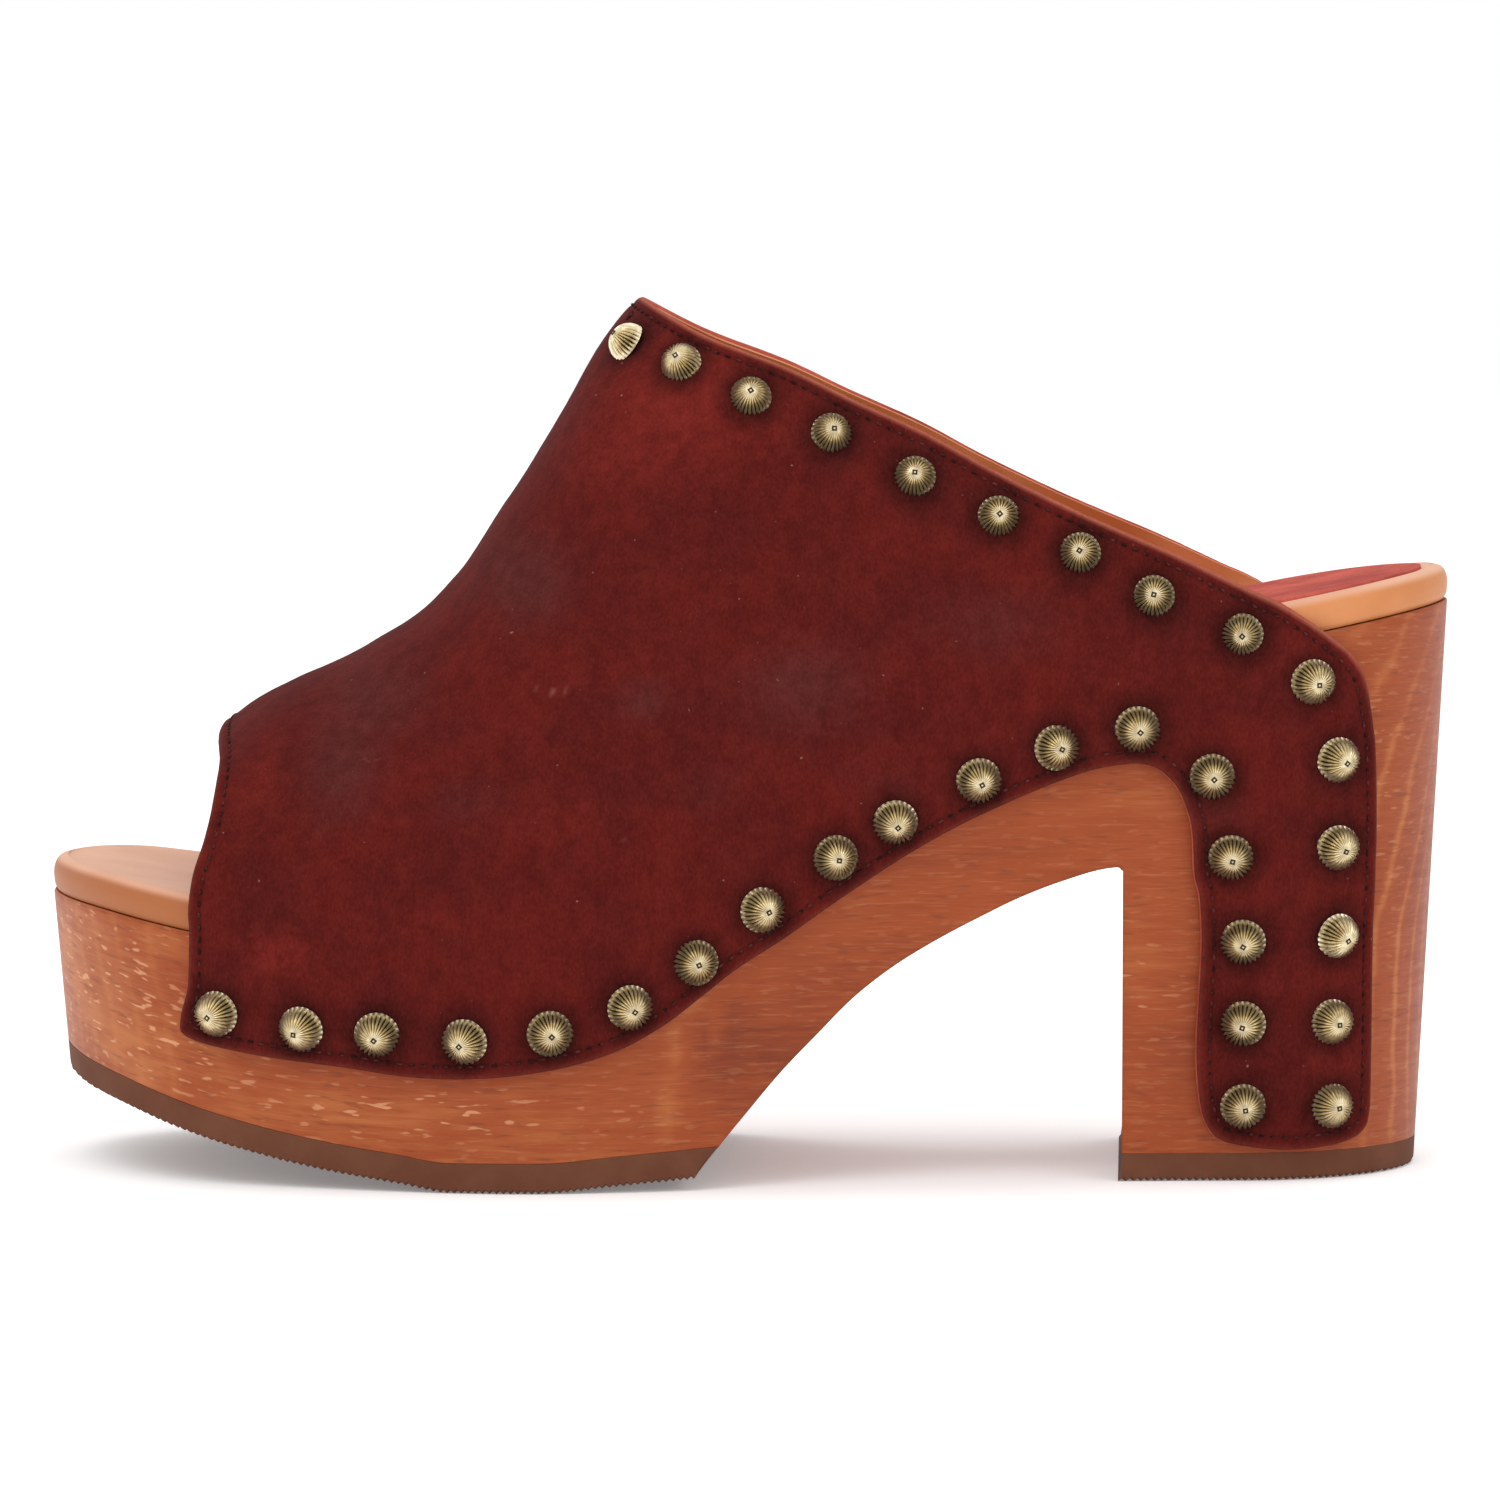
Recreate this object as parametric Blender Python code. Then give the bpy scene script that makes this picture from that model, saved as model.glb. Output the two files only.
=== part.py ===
"""A wooden sandal for the left foot: high carved sole, studded upper, open toe and heel.

Metres, +Z up. The toe points along -X and the heel along +X. The outer side of the foot
is along -Y and the inner side along +Y. The origin is on the floor under the middle.

A place on the sandal is given by its share of the length, from the toe at 0 to the heel
at 1, and by its height over the seat, which is the line where the wood ends and the
footbed starts.
"""

import math
from typing import NamedTuple

import bmesh
import bpy
from mathutils import Matrix, Vector

OUTER = -1.0
INNER = 1.0

# Driving sizes of the sole
LENGTH = 0.234
BALL_HALF_WIDTH = 0.045
PLATFORM_HEIGHT = 0.0386
HEEL_HEIGHT = 0.0946
TOE_SEAT_RISE = 0.0068
TOE_SPRING = 0.0152
BACK_SPRING = 0.0022
ARCH_HEIGHT = 0.0520
ARCH_SKEW = 0.055
OUTSOLE_THICKNESS = 0.0047
LIFT_THICKNESS = 0.0044
SOLE_EDGE = 0.0009
TOE_DRAFT = 0.087
HEEL_DRAFT = 0.053
SIDE_DRAFT = 0.035
TOE_ROUND = 0.12
HEEL_ROUND = 0.14

# Driving sizes of the footbed and its heel pad
FOOTBED_THICKNESS = 0.0054
FOOTBED_EDGE = 0.0024
PAD_THICKNESS = 0.0010
PAD_SIDE_MARGIN = 0.0045
PAD_FRONT = 0.72
PAD_BACK = 0.981
PAD_FRONT_ROUND = 0.06
PAD_BACK_ROUND = 0.10

# Driving sizes of the upper and its studs
INSTEP_RISE = 0.0985
UPPER_TILT = 0.020
LEATHER = 0.0022
RIM_CLEARANCE = 0.0010
STUD_RADIUS = 0.00375
STUD_HEIGHT = 0.0034
RIVET_RADIUS = 0.0034
RIVET_SINK = 0.0011

# Clearance between neighbours
GAP = 0.0003

# Steps of the meshes
END_STEPS = 8
END_STEP_START = 0.4
MIDDLE_STEPS = 24
SKIN_STEPS = 38
SKIN_MARGIN = 0.02
ARCH_STEPS = 9
WALL_SHARES = (1.0, 0.62, 0.28, 0.0)
SLOPE_STEP = 0.01
STUD_SIDES = 10
SMOOTH_ANGLE = math.radians(35)
STUD_SMOOTH_ANGLE = math.radians(50)


class Plan(NamedTuple):
    """Top view of the wood at one share of the length, in shares of the ball's half width."""

    at: float
    half_width: float
    towards_inner: float


PLAN = (
    Plan(at=0.00, half_width=0.80, towards_inner=0.21),
    Plan(at=0.08, half_width=0.85, towards_inner=0.14),
    Plan(at=0.16, half_width=0.92, towards_inner=0.08),
    Plan(at=0.25, half_width=0.98, towards_inner=0.03),
    Plan(at=0.33, half_width=1.00, towards_inner=-0.01),
    Plan(at=0.42, half_width=0.94, towards_inner=-0.03),
    Plan(at=0.50, half_width=0.84, towards_inner=-0.04),
    Plan(at=0.58, half_width=0.75, towards_inner=-0.045),
    Plan(at=0.66, half_width=0.70, towards_inner=-0.035),
    Plan(at=0.76, half_width=0.69, towards_inner=-0.005),
    Plan(at=0.88, half_width=0.70, towards_inner=0.02),
    Plan(at=1.00, half_width=0.69, towards_inner=0.02),
)


class Seat(NamedTuple):
    """Top of the wood: toe is a share of the toe's rise, heel a share of the heel's."""

    at: float
    toe: float
    heel: float


SEAT = (
    Seat(at=0.00, toe=1.00, heel=0.0),
    Seat(at=0.04, toe=0.86, heel=0.0),
    Seat(at=0.08, toe=0.64, heel=0.0),
    Seat(at=0.12, toe=0.41, heel=0.0),
    Seat(at=0.18, toe=0.12, heel=0.0),
    Seat(at=0.24, toe=0.00, heel=0.0),
    Seat(at=0.30, toe=0.00, heel=0.008),
    Seat(at=0.36, toe=0.00, heel=0.046),
    Seat(at=0.42, toe=0.00, heel=0.125),
    Seat(at=0.48, toe=0.00, heel=0.235),
    Seat(at=0.54, toe=0.00, heel=0.367),
    Seat(at=0.60, toe=0.00, heel=0.502),
    Seat(at=0.66, toe=0.00, heel=0.626),
    Seat(at=0.72, toe=0.00, heel=0.730),
    Seat(at=0.78, toe=0.00, heel=0.811),
    Seat(at=0.84, toe=0.00, heel=0.873),
    Seat(at=0.90, toe=0.00, heel=0.923),
    Seat(at=0.95, toe=0.00, heel=0.962),
    Seat(at=1.00, toe=0.00, heel=1.0),
)


class Tread(NamedTuple):
    """Underside of the forefoot: toe is a share of the toe spring, back of the back spring."""

    at: float
    toe: float
    back: float


TREAD = (
    Tread(at=0.00, toe=1.00, back=0.0),
    Tread(at=0.02, toe=0.905, back=0.0),
    Tread(at=0.05, toe=0.78, back=0.0),
    Tread(at=0.09, toe=0.592, back=0.0),
    Tread(at=0.13, toe=0.421, back=0.0),
    Tread(at=0.17, toe=0.28, back=0.0),
    Tread(at=0.21, toe=0.17, back=0.0),
    Tread(at=0.25, toe=0.08, back=0.0),
    Tread(at=0.285, toe=0.0, back=0.0),
    Tread(at=0.35, toe=0.0, back=0.0),
    Tread(at=0.40, toe=0.0, back=0.42),
    Tread(at=0.44, toe=0.0, back=0.75),
    Tread(at=0.48, toe=0.0, back=1.0),
    Tread(at=1.00, toe=0.0, back=1.0),
)


class Arch(NamedTuple):
    """Hollow under the sole on the outer side: place and share of the arch's height."""

    at: float
    height: float


ARCH = (
    Arch(at=0.453, height=-0.05),
    Arch(at=0.466, height=0.045),
    Arch(at=0.480, height=0.126),
    Arch(at=0.502, height=0.246),
    Arch(at=0.525, height=0.368),
    Arch(at=0.549, height=0.479),
    Arch(at=0.576, height=0.600),
    Arch(at=0.604, height=0.696),
    Arch(at=0.633, height=0.774),
    Arch(at=0.662, height=0.842),
    Arch(at=0.692, height=0.907),
    Arch(at=0.721, height=0.956),
    Arch(at=0.751, height=0.994),
    Arch(at=0.7625, height=1.000),
    Arch(at=0.7625, height=-0.05),
)


class Section(NamedTuple):
    """Cross-section of the upper's inside at one share of the length.

    rise is the ridge's height over the seat in shares of the instep's rise, fullness
    is how squarely the sides come up, from 1 for a tent to 2 and over for a barrel, and
    towards_inner is where the ridge stands, in shares of the ball's half width.
    """

    at: float
    rise: float
    fullness: float
    towards_inner: float


SECTIONS = (
    Section(at=0.090, rise=0.285, fullness=2.40, towards_inner=0.08),
    Section(at=0.117, rise=0.316, fullness=2.40, towards_inner=0.08),
    Section(at=0.154, rise=0.387, fullness=2.30, towards_inner=0.09),
    Section(at=0.180, rise=0.425, fullness=2.20, towards_inner=0.09),
    Section(at=0.209, rise=0.460, fullness=2.10, towards_inner=0.10),
    Section(at=0.235, rise=0.495, fullness=2.00, towards_inner=0.10),
    Section(at=0.268, rise=0.547, fullness=1.85, towards_inner=0.10),
    Section(at=0.299, rise=0.625, fullness=1.70, towards_inner=0.10),
    Section(at=0.321, rise=0.700, fullness=1.60, towards_inner=0.09),
    Section(at=0.343, rise=0.770, fullness=1.50, towards_inner=0.08),
    Section(at=0.364, rise=0.842, fullness=1.42, towards_inner=0.08),
    Section(at=0.399, rise=0.957, fullness=1.32, towards_inner=0.07),
    Section(at=0.425, rise=1.005, fullness=1.25, towards_inner=0.06),
    Section(at=0.470, rise=1.030, fullness=1.20, towards_inner=0.04),
    Section(at=0.530, rise=0.960, fullness=1.15, towards_inner=0.02),
    Section(at=0.620, rise=0.840, fullness=1.15, towards_inner=0.02),
    Section(at=0.720, rise=0.690, fullness=1.20, towards_inner=0.02),
    Section(at=0.820, rise=0.560, fullness=1.30, towards_inner=0.02),
    Section(at=0.900, rise=0.470, fullness=1.40, towards_inner=0.02),
    Section(at=1.000, rise=0.400, fullness=1.40, towards_inner=0.02),
)


class Edge(NamedTuple):
    """A point of the upper seen from the side.

    level over 0 is a share of the instep's rise, measured up from the seat. level under
    0 is a share of the seat's own height over the heel lift, measured down from it.
    """

    at: float
    level: float


FRONT_EDGE = (
    Edge(at=0.104, level=-0.430),
    Edge(at=0.105, level=-0.372),
    Edge(at=0.1107, level=-0.219),
    Edge(at=0.1118, level=0.003),
    Edge(at=0.1112, level=0.036),
    Edge(at=0.114, level=0.092),
    Edge(at=0.123, level=0.167),
    Edge(at=0.127, level=0.220),
    Edge(at=0.129, level=0.279),
    Edge(at=0.123, level=0.319),
    Edge(at=0.116, level=0.400),
)

OVER_THE_RIDGE = (
    Edge(at=0.200, level=0.75),
    Edge(at=0.330, level=1.10),
    Edge(at=0.398, level=1.12),
)

COLLAR_EDGE = (
    Edge(at=0.403, level=1.050),
    Edge(at=0.4275, level=0.991),
    Edge(at=0.469, level=0.894),
    Edge(at=0.530, level=0.763),
    Edge(at=0.574, level=0.656),
    Edge(at=0.625, level=0.538),
    Edge(at=0.671, level=0.427),
    Edge(at=0.732, level=0.299),
    Edge(at=0.802, level=0.177),
    Edge(at=0.849, level=0.098),
    Edge(at=0.870, level=0.065),
    Edge(at=0.905, level=-0.006),
    Edge(at=0.9235, level=-0.059),
    Edge(at=0.933, level=-0.112),
    Edge(at=0.937, level=-0.172),
)

TAB_EDGE = (
    Edge(at=0.9405, level=-0.242),
    Edge(at=0.942, level=-0.386),
    Edge(at=0.9415, level=-0.483),
    Edge(at=0.940, level=-0.617),
    Edge(at=0.940, level=-0.761),
    Edge(at=0.9398, level=-0.909),
    Edge(at=0.938, level=-0.950),
    Edge(at=0.9295, level=-0.975),
    Edge(at=0.9105, level=-0.988),
    Edge(at=0.8795, level=-0.993),
    Edge(at=0.847, level=-0.983),
    Edge(at=0.8295, level=-0.968),
    Edge(at=0.821, level=-0.937),
    Edge(at=0.8165, level=-0.890),
    Edge(at=0.814, level=-0.787),
    Edge(at=0.817, level=-0.581),
)

LOWER_EDGE = (
    Edge(at=0.8155, level=-0.478),
    Edge(at=0.812, level=-0.436),
    Edge(at=0.8095, level=-0.332),
    Edge(at=0.804, level=-0.278),
    Edge(at=0.797, level=-0.238),
    Edge(at=0.783, level=-0.196),
    Edge(at=0.765, level=-0.177),
    Edge(at=0.7305, level=-0.170),
    Edge(at=0.662, level=-0.187),
    Edge(at=0.613, level=-0.211),
    Edge(at=0.564, level=-0.255),
    Edge(at=0.5255, level=-0.303),
    Edge(at=0.492, level=-0.344),
    Edge(at=0.4675, level=-0.400),
    Edge(at=0.443, level=-0.462),
    Edge(at=0.410, level=-0.524),
    Edge(at=0.375, level=-0.555),
    Edge(at=0.331, level=-0.573),
    Edge(at=0.296, level=-0.575),
    Edge(at=0.260, level=-0.561),
    Edge(at=0.223, level=-0.529),
    Edge(at=0.169, level=-0.506),
    Edge(at=0.1325, level=-0.487),
    Edge(at=0.1125, level=-0.466),
)

PATTERN = FRONT_EDGE + OVER_THE_RIDGE + COLLAR_EDGE + TAB_EDGE + LOWER_EDGE

# Studs of the collar that hold leather alone
RIVETS = (
    Edge(at=0.416, level=0.934),
    Edge(at=0.4535, level=0.865),
    Edge(at=0.5025, level=0.754),
    Edge(at=0.559, level=0.621),
    Edge(at=0.617, level=0.477),
    Edge(at=0.675, level=0.346),
    Edge(at=0.7315, level=0.233),
    Edge(at=0.7825, level=0.125),
    Edge(at=0.844, level=0.026),
)

# Studs nailed through the leather into the wood, from the collar's end round to the toe
NAILS = (
    Edge(at=0.895, level=-0.09),
    Edge(at=0.916, level=-0.249),
    Edge(at=0.919, level=-0.4175),
    Edge(at=0.922, level=-0.586),
    Edge(at=0.921, level=-0.75),
    Edge(at=0.924, level=-0.911),
    Edge(at=0.8575, level=-0.905),
    Edge(at=0.855, level=-0.741),
    Edge(at=0.8525, level=-0.579),
    Edge(at=0.8415, level=-0.409),
    Edge(at=0.826, level=-0.241),
    Edge(at=0.772, level=-0.11),
    Edge(at=0.7155, level=-0.098),
    Edge(at=0.661, level=-0.105),
    Edge(at=0.6025, level=-0.115),
    Edge(at=0.561, level=-0.133),
    Edge(at=0.51, level=-0.185),
    Edge(at=0.4635, level=-0.271),
    Edge(at=0.4175, level=-0.364),
    Edge(at=0.362, level=-0.403),
    Edge(at=0.3025, level=-0.404),
    Edge(at=0.2415, level=-0.37),
    Edge(at=0.188, level=-0.363),
    Edge(at=0.1275, level=-0.34),
)


class Bead(NamedTuple):
    """A point of a rounded edge: inset and height as shares of the edge and the thickness."""

    inset: float
    height: float


FOOTBED_SIDE = (
    Bead(inset=0.25, height=0.0),
    Bead(inset=0.05, height=0.20),
    Bead(inset=0.0, height=0.50),
    Bead(inset=0.12, height=0.76),
    Bead(inset=0.45, height=0.94),
    Bead(inset=1.0, height=1.0),
)
PAD_SIDE = (
    Bead(inset=0.0, height=0.0),
    Bead(inset=0.0, height=0.55),
    Bead(inset=0.35, height=1.0),
)
SOLE_SIDE = (
    Bead(inset=1.0, height=0.0),
    Bead(inset=0.0, height=0.25),
    Bead(inset=0.0, height=1.0),
)
WOOD_SIDE = (
    Bead(inset=0.0, height=0.0),
    Bead(inset=0.0, height=0.5),
    Bead(inset=0.0, height=1.0),
)
STUD_DOME = (
    Bead(inset=0.0, height=0.0),
    Bead(inset=0.10, height=0.45),
    Bead(inset=0.42, height=0.82),
)


def look_up(table, column, at):
    """Read a table's column at any place, along a smooth curve that never overshoots."""
    keys = [row.at for row in table]
    values = [getattr(row, column) for row in table]
    if at <= keys[0]:
        return values[0]
    if at >= keys[-1]:
        return values[-1]
    slopes = [(b - a) / (v - u) for a, b, u, v in zip(values, values[1:], keys, keys[1:])]
    tangents = [slopes[0]]
    for before, after in zip(slopes, slopes[1:]):
        same_way = before * after > 0.0
        tangents.append(2.0 * before * after / (before + after) if same_way else 0.0)
    tangents.append(slopes[-1])
    row = max(i for i, key in enumerate(keys) if key <= at)
    width = keys[row + 1] - keys[row]
    t = (at - keys[row]) / width
    start = values[row] * (1.0 + 2.0 * t) * (1.0 - t) ** 2
    start += tangents[row] * width * t * (1.0 - t) ** 2
    end = values[row + 1] * t * t * (3.0 - 2.0 * t)
    end += tangents[row + 1] * width * t * t * (t - 1.0)
    return start + end


def seat_height(at):
    """Height of the wood's top."""
    toe = TOE_SEAT_RISE * look_up(SEAT, "toe", at)
    heel = (HEEL_HEIGHT - PLATFORM_HEIGHT) * look_up(SEAT, "heel", at)
    return PLATFORM_HEIGHT + toe + heel


def tread_height(at):
    """Height of the forefoot outsole's underside."""
    return TOE_SPRING * look_up(TREAD, "toe", at) + BACK_SPRING * look_up(TREAD, "back", at)


def end_rounding(front, back):
    """Share of the half width left by two round ends, from 0 at a tip to 1 past its round."""
    front_missing = 1.0 - min(max(front, 0.0), 1.0)
    back_missing = 1.0 - min(max(back, 0.0), 1.0)
    return math.sqrt(1.0 - front_missing**2) * math.sqrt(1.0 - back_missing**2)


def side_point(at, depth, side, inset=0.0):
    """Top-view place of the sole's side, at a depth under the seat."""
    toe = -LENGTH / 2 + TOE_DRAFT * depth + inset
    heel = LENGTH / 2 - HEEL_DRAFT * depth - inset
    half = BALL_HALF_WIDTH * look_up(PLAN, "half_width", at) - SIDE_DRAFT * depth - inset
    rounded = half * end_rounding(at / TOE_ROUND, (1.0 - at) / HEEL_ROUND)
    return toe + at * (heel - toe), middle_line(at) + side * rounded


def middle_line(at):
    """Y of the sole's middle."""
    return BALL_HALF_WIDTH * look_up(PLAN, "towards_inner", at)


def flat_spot():
    """Shares of the length between which the forefoot stands flat on the floor."""
    return [row.at for row in TREAD if row.toe == row.back == 0.0]


def stations(first, last, front_round, back_round, also=()):
    """Shares of the length for a body's rings, closer together at its rounded ends."""
    places = list(also)
    for step in range(END_STEPS):
        turn = (step + END_STEP_START) / END_STEPS * math.pi / 2
        places.append(first + front_round * (1.0 - math.cos(turn)))
        places.append(last - back_round * (1.0 - math.cos(turn)))
    middle = last - first - front_round - back_round
    count = max(1, round(MIDDLE_STEPS * middle))
    for step in range(count + 1):
        places.append(first + front_round + middle * step / count)
    return sorted(places)


def make_material(name, colour, roughness, metallic=0.0):
    """A plain finish."""
    material = bpy.data.materials.new(name)
    material.use_nodes = True
    shader = material.node_tree.nodes["Principled BSDF"]
    shader.inputs["Base Color"].default_value = (*colour, 1.0)
    shader.inputs["Roughness"].default_value = roughness
    shader.inputs["Metallic"].default_value = metallic
    material.diffuse_color = (*colour, 1.0)
    return material


def add_object(name, mesh, material=None):
    """Put a mesh in the scene, smooth but for its sharp edges."""
    piece = bpy.data.objects.new(name, mesh)
    bpy.context.scene.collection.objects.link(piece)
    if material is not None:
        mesh.materials.append(material)
        mesh.shade_smooth()
        mesh.set_sharp_from_angle(angle=SMOOTH_ANGLE)
    return piece


def finish_mesh(shape, name):
    """Turn a closed shape's faces outwards and write it to a mesh."""
    bmesh.ops.recalc_face_normals(shape, faces=shape.faces)
    mesh = bpy.data.meshes.new(name)
    shape.to_mesh(mesh)
    shape.free()
    return mesh


def loft(name, rings):
    """A closed body through rings of points."""
    shape = bmesh.new()
    rows = [[shape.verts.new(point) for point in ring] for ring in rings]
    count = len(rows[0])
    for row, after in zip(rows, rows[1:]):
        for i in range(count):
            j = (i + 1) % count
            shape.faces.new((row[i], row[j], after[j], after[i]))
    shape.faces.new(rows[0])
    shape.faces.new(list(reversed(rows[-1])))
    return finish_mesh(shape, name)


def sole_ring(at, low, high, side_beads, edge):
    """One ring of a sole layer between two heights, with its rounded side."""
    ring = []
    for side in (OUTER, INNER):
        beads = side_beads if side == OUTER else tuple(reversed(side_beads))
        for bead in beads:
            height = low + (high - low) * bead.height
            depth = max(0.0, seat_height(at) - height)
            x, y = side_point(at, depth, side, edge * bead.inset)
            ring.append(Vector((x, y, height)))
    return ring


def cut_with(piece, cutter, operation):
    """Add a Boolean between two bodies."""
    modifier = piece.modifiers.new(operation.title(), "BOOLEAN")
    modifier.operation = operation
    modifier.solver = "EXACT"
    modifier.object = cutter
    cutter.hide_render = True
    cutter.display_type = "WIRE"


def measured_side():
    """Distance from the middle plane to the outer side, where side outlines are measured."""
    return BALL_HALF_WIDTH * look_up(PLAN, "half_width", ARCH[-1].at)


def side_prism(name, outline, skew=0.0, tilt=0.0):
    """A body with one outline in the side view, right across the sandal.

    skew and tilt are how far the outline moves back and up, per unit of width towards
    the inner side, from the outer side on which it is measured.
    """
    reach = 2.0 * BALL_HALF_WIDTH
    rings = []
    for y in (-reach, reach):
        across = y + measured_side()
        rings.append([Vector((x + skew * across, y, z + tilt * across)) for x, z in outline])
    return add_object(name, loft(name, rings))


def length_place(at):
    """X of a share of the length at the seat."""
    return LENGTH * (at - 0.5)


def make_arch_cutter():
    """The hollow between the forefoot and the heel, which cuts wood and rubber alike."""
    outline = [(length_place(row.at), ARCH_HEIGHT * row.height) for row in ARCH]
    return side_prism("arch_cutter", outline, skew=ARCH_SKEW)


def make_wood_sole(cutter, material):
    """The carved sole, from under the footbed to the rubber pieces."""
    rings = []
    for at in stations(0.0, 1.0, TOE_ROUND, HEEL_ROUND, flat_spot()):
        under_rubber = tread_height(at) + OUTSOLE_THICKNESS + GAP
        under_lift = LIFT_THICKNESS + GAP
        low = under_rubber if at < ARCH[3].at else under_lift
        rings.append(sole_ring(at, low, seat_height(at), WOOD_SIDE, 0.0))
    piece = add_object("wood_sole", loft("wood_sole", rings), material)
    cut_with(piece, cutter, "DIFFERENCE")


def make_forefoot_outsole(cutter, material):
    """The thin rubber under the forefoot."""
    rings = []
    for at in stations(0.0, ARCH[4].at, TOE_ROUND, 0.0, flat_spot()):
        low = tread_height(at)
        rings.append(sole_ring(at, low, low + OUTSOLE_THICKNESS, SOLE_SIDE, SOLE_EDGE))
    piece = add_object("forefoot_outsole", loft("forefoot_outsole", rings), material)
    cut_with(piece, cutter, "DIFFERENCE")


def make_heel_lift(cutter, material):
    """The rubber top piece under the heel."""
    rings = []
    for at in stations(ARCH[-4].at, 1.0, 0.0, HEEL_ROUND):
        rings.append(sole_ring(at, 0.0, LIFT_THICKNESS, SOLE_SIDE, SOLE_EDGE))
    piece = add_object("heel_lift", loft("heel_lift", rings), material)
    cut_with(piece, cutter, "DIFFERENCE")


def footbed_top(at):
    """Height of the footbed's top."""
    return seat_height(at) + GAP + FOOTBED_THICKNESS


def make_footbed(material):
    """The padded insole that covers the wood from toe to heel."""
    rings = []
    for at in stations(0.0, 1.0, TOE_ROUND, HEEL_ROUND):
        low = seat_height(at) + GAP
        rings.append(sole_ring(at, low, footbed_top(at), FOOTBED_SIDE, FOOTBED_EDGE))
    add_object("footbed", loft("footbed", rings), material)


def pad_ring(at):
    """One ring of the heel pad, inside the footbed's outline."""
    low = footbed_top(at) + GAP
    half = BALL_HALF_WIDTH * look_up(PLAN, "half_width", at) - PAD_SIDE_MARGIN
    from_front = (at - PAD_FRONT) / PAD_FRONT_ROUND
    from_back = (PAD_BACK - at) / PAD_BACK_ROUND
    rounding = end_rounding(from_front, from_back)
    ring = []
    for side in (OUTER, INNER):
        for bead in PAD_SIDE if side == OUTER else tuple(reversed(PAD_SIDE)):
            x, _ = side_point(at, 0.0, side, FOOTBED_EDGE)
            y = middle_line(at) + side * (half - PAD_THICKNESS * bead.inset) * rounding
            ring.append(Vector((x, y, low + PAD_THICKNESS * bead.height)))
    return ring


def make_heel_pad(material):
    """The thin pad on the footbed's heel, round at both ends."""
    places = stations(PAD_FRONT, PAD_BACK, PAD_FRONT_ROUND, PAD_BACK_ROUND)
    add_object("heel_pad", loft("heel_pad", [pad_ring(at) for at in places]), material)


def arch_base(at):
    """Height where the upper's sides start to lean in, just over the footbed's rim."""
    return footbed_top(at) + RIM_CLEARANCE


def ridge_height(at):
    """Height of the upper's inside along its ridge, under a wall of full thickness."""
    def outside(place):
        return seat_height(place) + INSTEP_RISE * look_up(SECTIONS, "rise", place)

    rise = outside(at + SLOPE_STEP) - outside(at - SLOPE_STEP)
    slope = rise / (2.0 * SLOPE_STEP * LENGTH)
    return outside(at) - LEATHER * math.sqrt(1.0 + slope * slope)


def skin_wall(at, depth, side):
    """A point of the upper's inside against the sole's side."""
    x, y = side_point(at, max(0.0, depth), side)
    return Vector((x, y + side * GAP, seat_height(at) - depth))


def skin_arch(at, turn, side):
    """A point of the upper's inside over the foot; turn goes from 0 at the side to 90."""
    foot = skin_wall(at, 0.0, side)
    ridge = BALL_HALF_WIDTH * look_up(SECTIONS, "towards_inner", at)
    fullness = look_up(SECTIONS, "fullness", at)
    base = arch_base(at)
    y = ridge + (foot.y - ridge) * math.cos(turn)
    z = base + (ridge_height(at) - base) * math.sin(turn) ** (2.0 / fullness)
    return Vector((foot.x, y, z))


def skin_point(at, height, side):
    """A point of the upper's inside at a share of the length and a height."""
    base = arch_base(at)
    if height <= base:
        return skin_wall(at, seat_height(at) - height, side)
    share = min(1.0, (height - base) / (ridge_height(at) - base))
    turn = math.asin(share ** (look_up(SECTIONS, "fullness", at) / 2.0))
    return skin_arch(at, turn, side)


def edge_height(row):
    """Height of a point of the upper's pattern."""
    seat = seat_height(row.at)
    if row.level >= 0.0:
        return seat + row.level * INSTEP_RISE
    return seat + row.level * (seat - LIFT_THICKNESS - GAP)


def skin_section(at):
    """The upper's inside at one share of the length, from the outer to the inner side."""
    bottom = seat_height(at) - LIFT_THICKNESS
    depths = [bottom * share for share in WALL_SHARES] + [seat_height(at) - arch_base(at)]
    turns = [math.pi / 2 * step / ARCH_STEPS for step in range(1, ARCH_STEPS)]
    outer = [skin_wall(at, depth, OUTER) for depth in depths]
    outer += [skin_arch(at, turn, OUTER) for turn in turns]
    inner = [skin_wall(at, depth, INNER) for depth in depths]
    inner += [skin_arch(at, turn, INNER) for turn in turns]
    return outer + [skin_arch(at, math.pi / 2, INNER)] + list(reversed(inner))


def make_skin():
    """The leather as one arched sheet over the last, before its outline is cut."""
    first = min(row.at for row in PATTERN) - SKIN_MARGIN
    last = max(row.at for row in PATTERN) + SKIN_MARGIN
    shape = bmesh.new()
    rows = []
    for step in range(SKIN_STEPS + 1):
        at = first + (last - first) * step / SKIN_STEPS
        rows.append([shape.verts.new(point) for point in skin_section(at)])
    for row, after in zip(rows, rows[1:]):
        for i in range(len(row) - 1):
            shape.faces.new((row[i], row[i + 1], after[i + 1], after[i]))
    bmesh.ops.recalc_face_normals(shape, faces=shape.faces)
    if sum(face.normal.z * face.calc_area() for face in shape.faces) < 0.0:
        bmesh.ops.reverse_faces(shape, faces=shape.faces)
    mesh = bpy.data.meshes.new("upper")
    shape.to_mesh(mesh)
    shape.free()
    return mesh


def leather_normal(at, height, side):
    """Outward direction of the leather at a place on one side."""
    step = STUD_RADIUS / 4.0
    share = step / LENGTH
    along = skin_point(at + share, height, side) - skin_point(at - share, height, side)
    up = skin_point(at, height + step, side) - skin_point(at, height - step, side)
    outward = along.cross(up).normalized()
    if outward.y * side < 0.0:
        outward.negate()
    return outward


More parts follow.
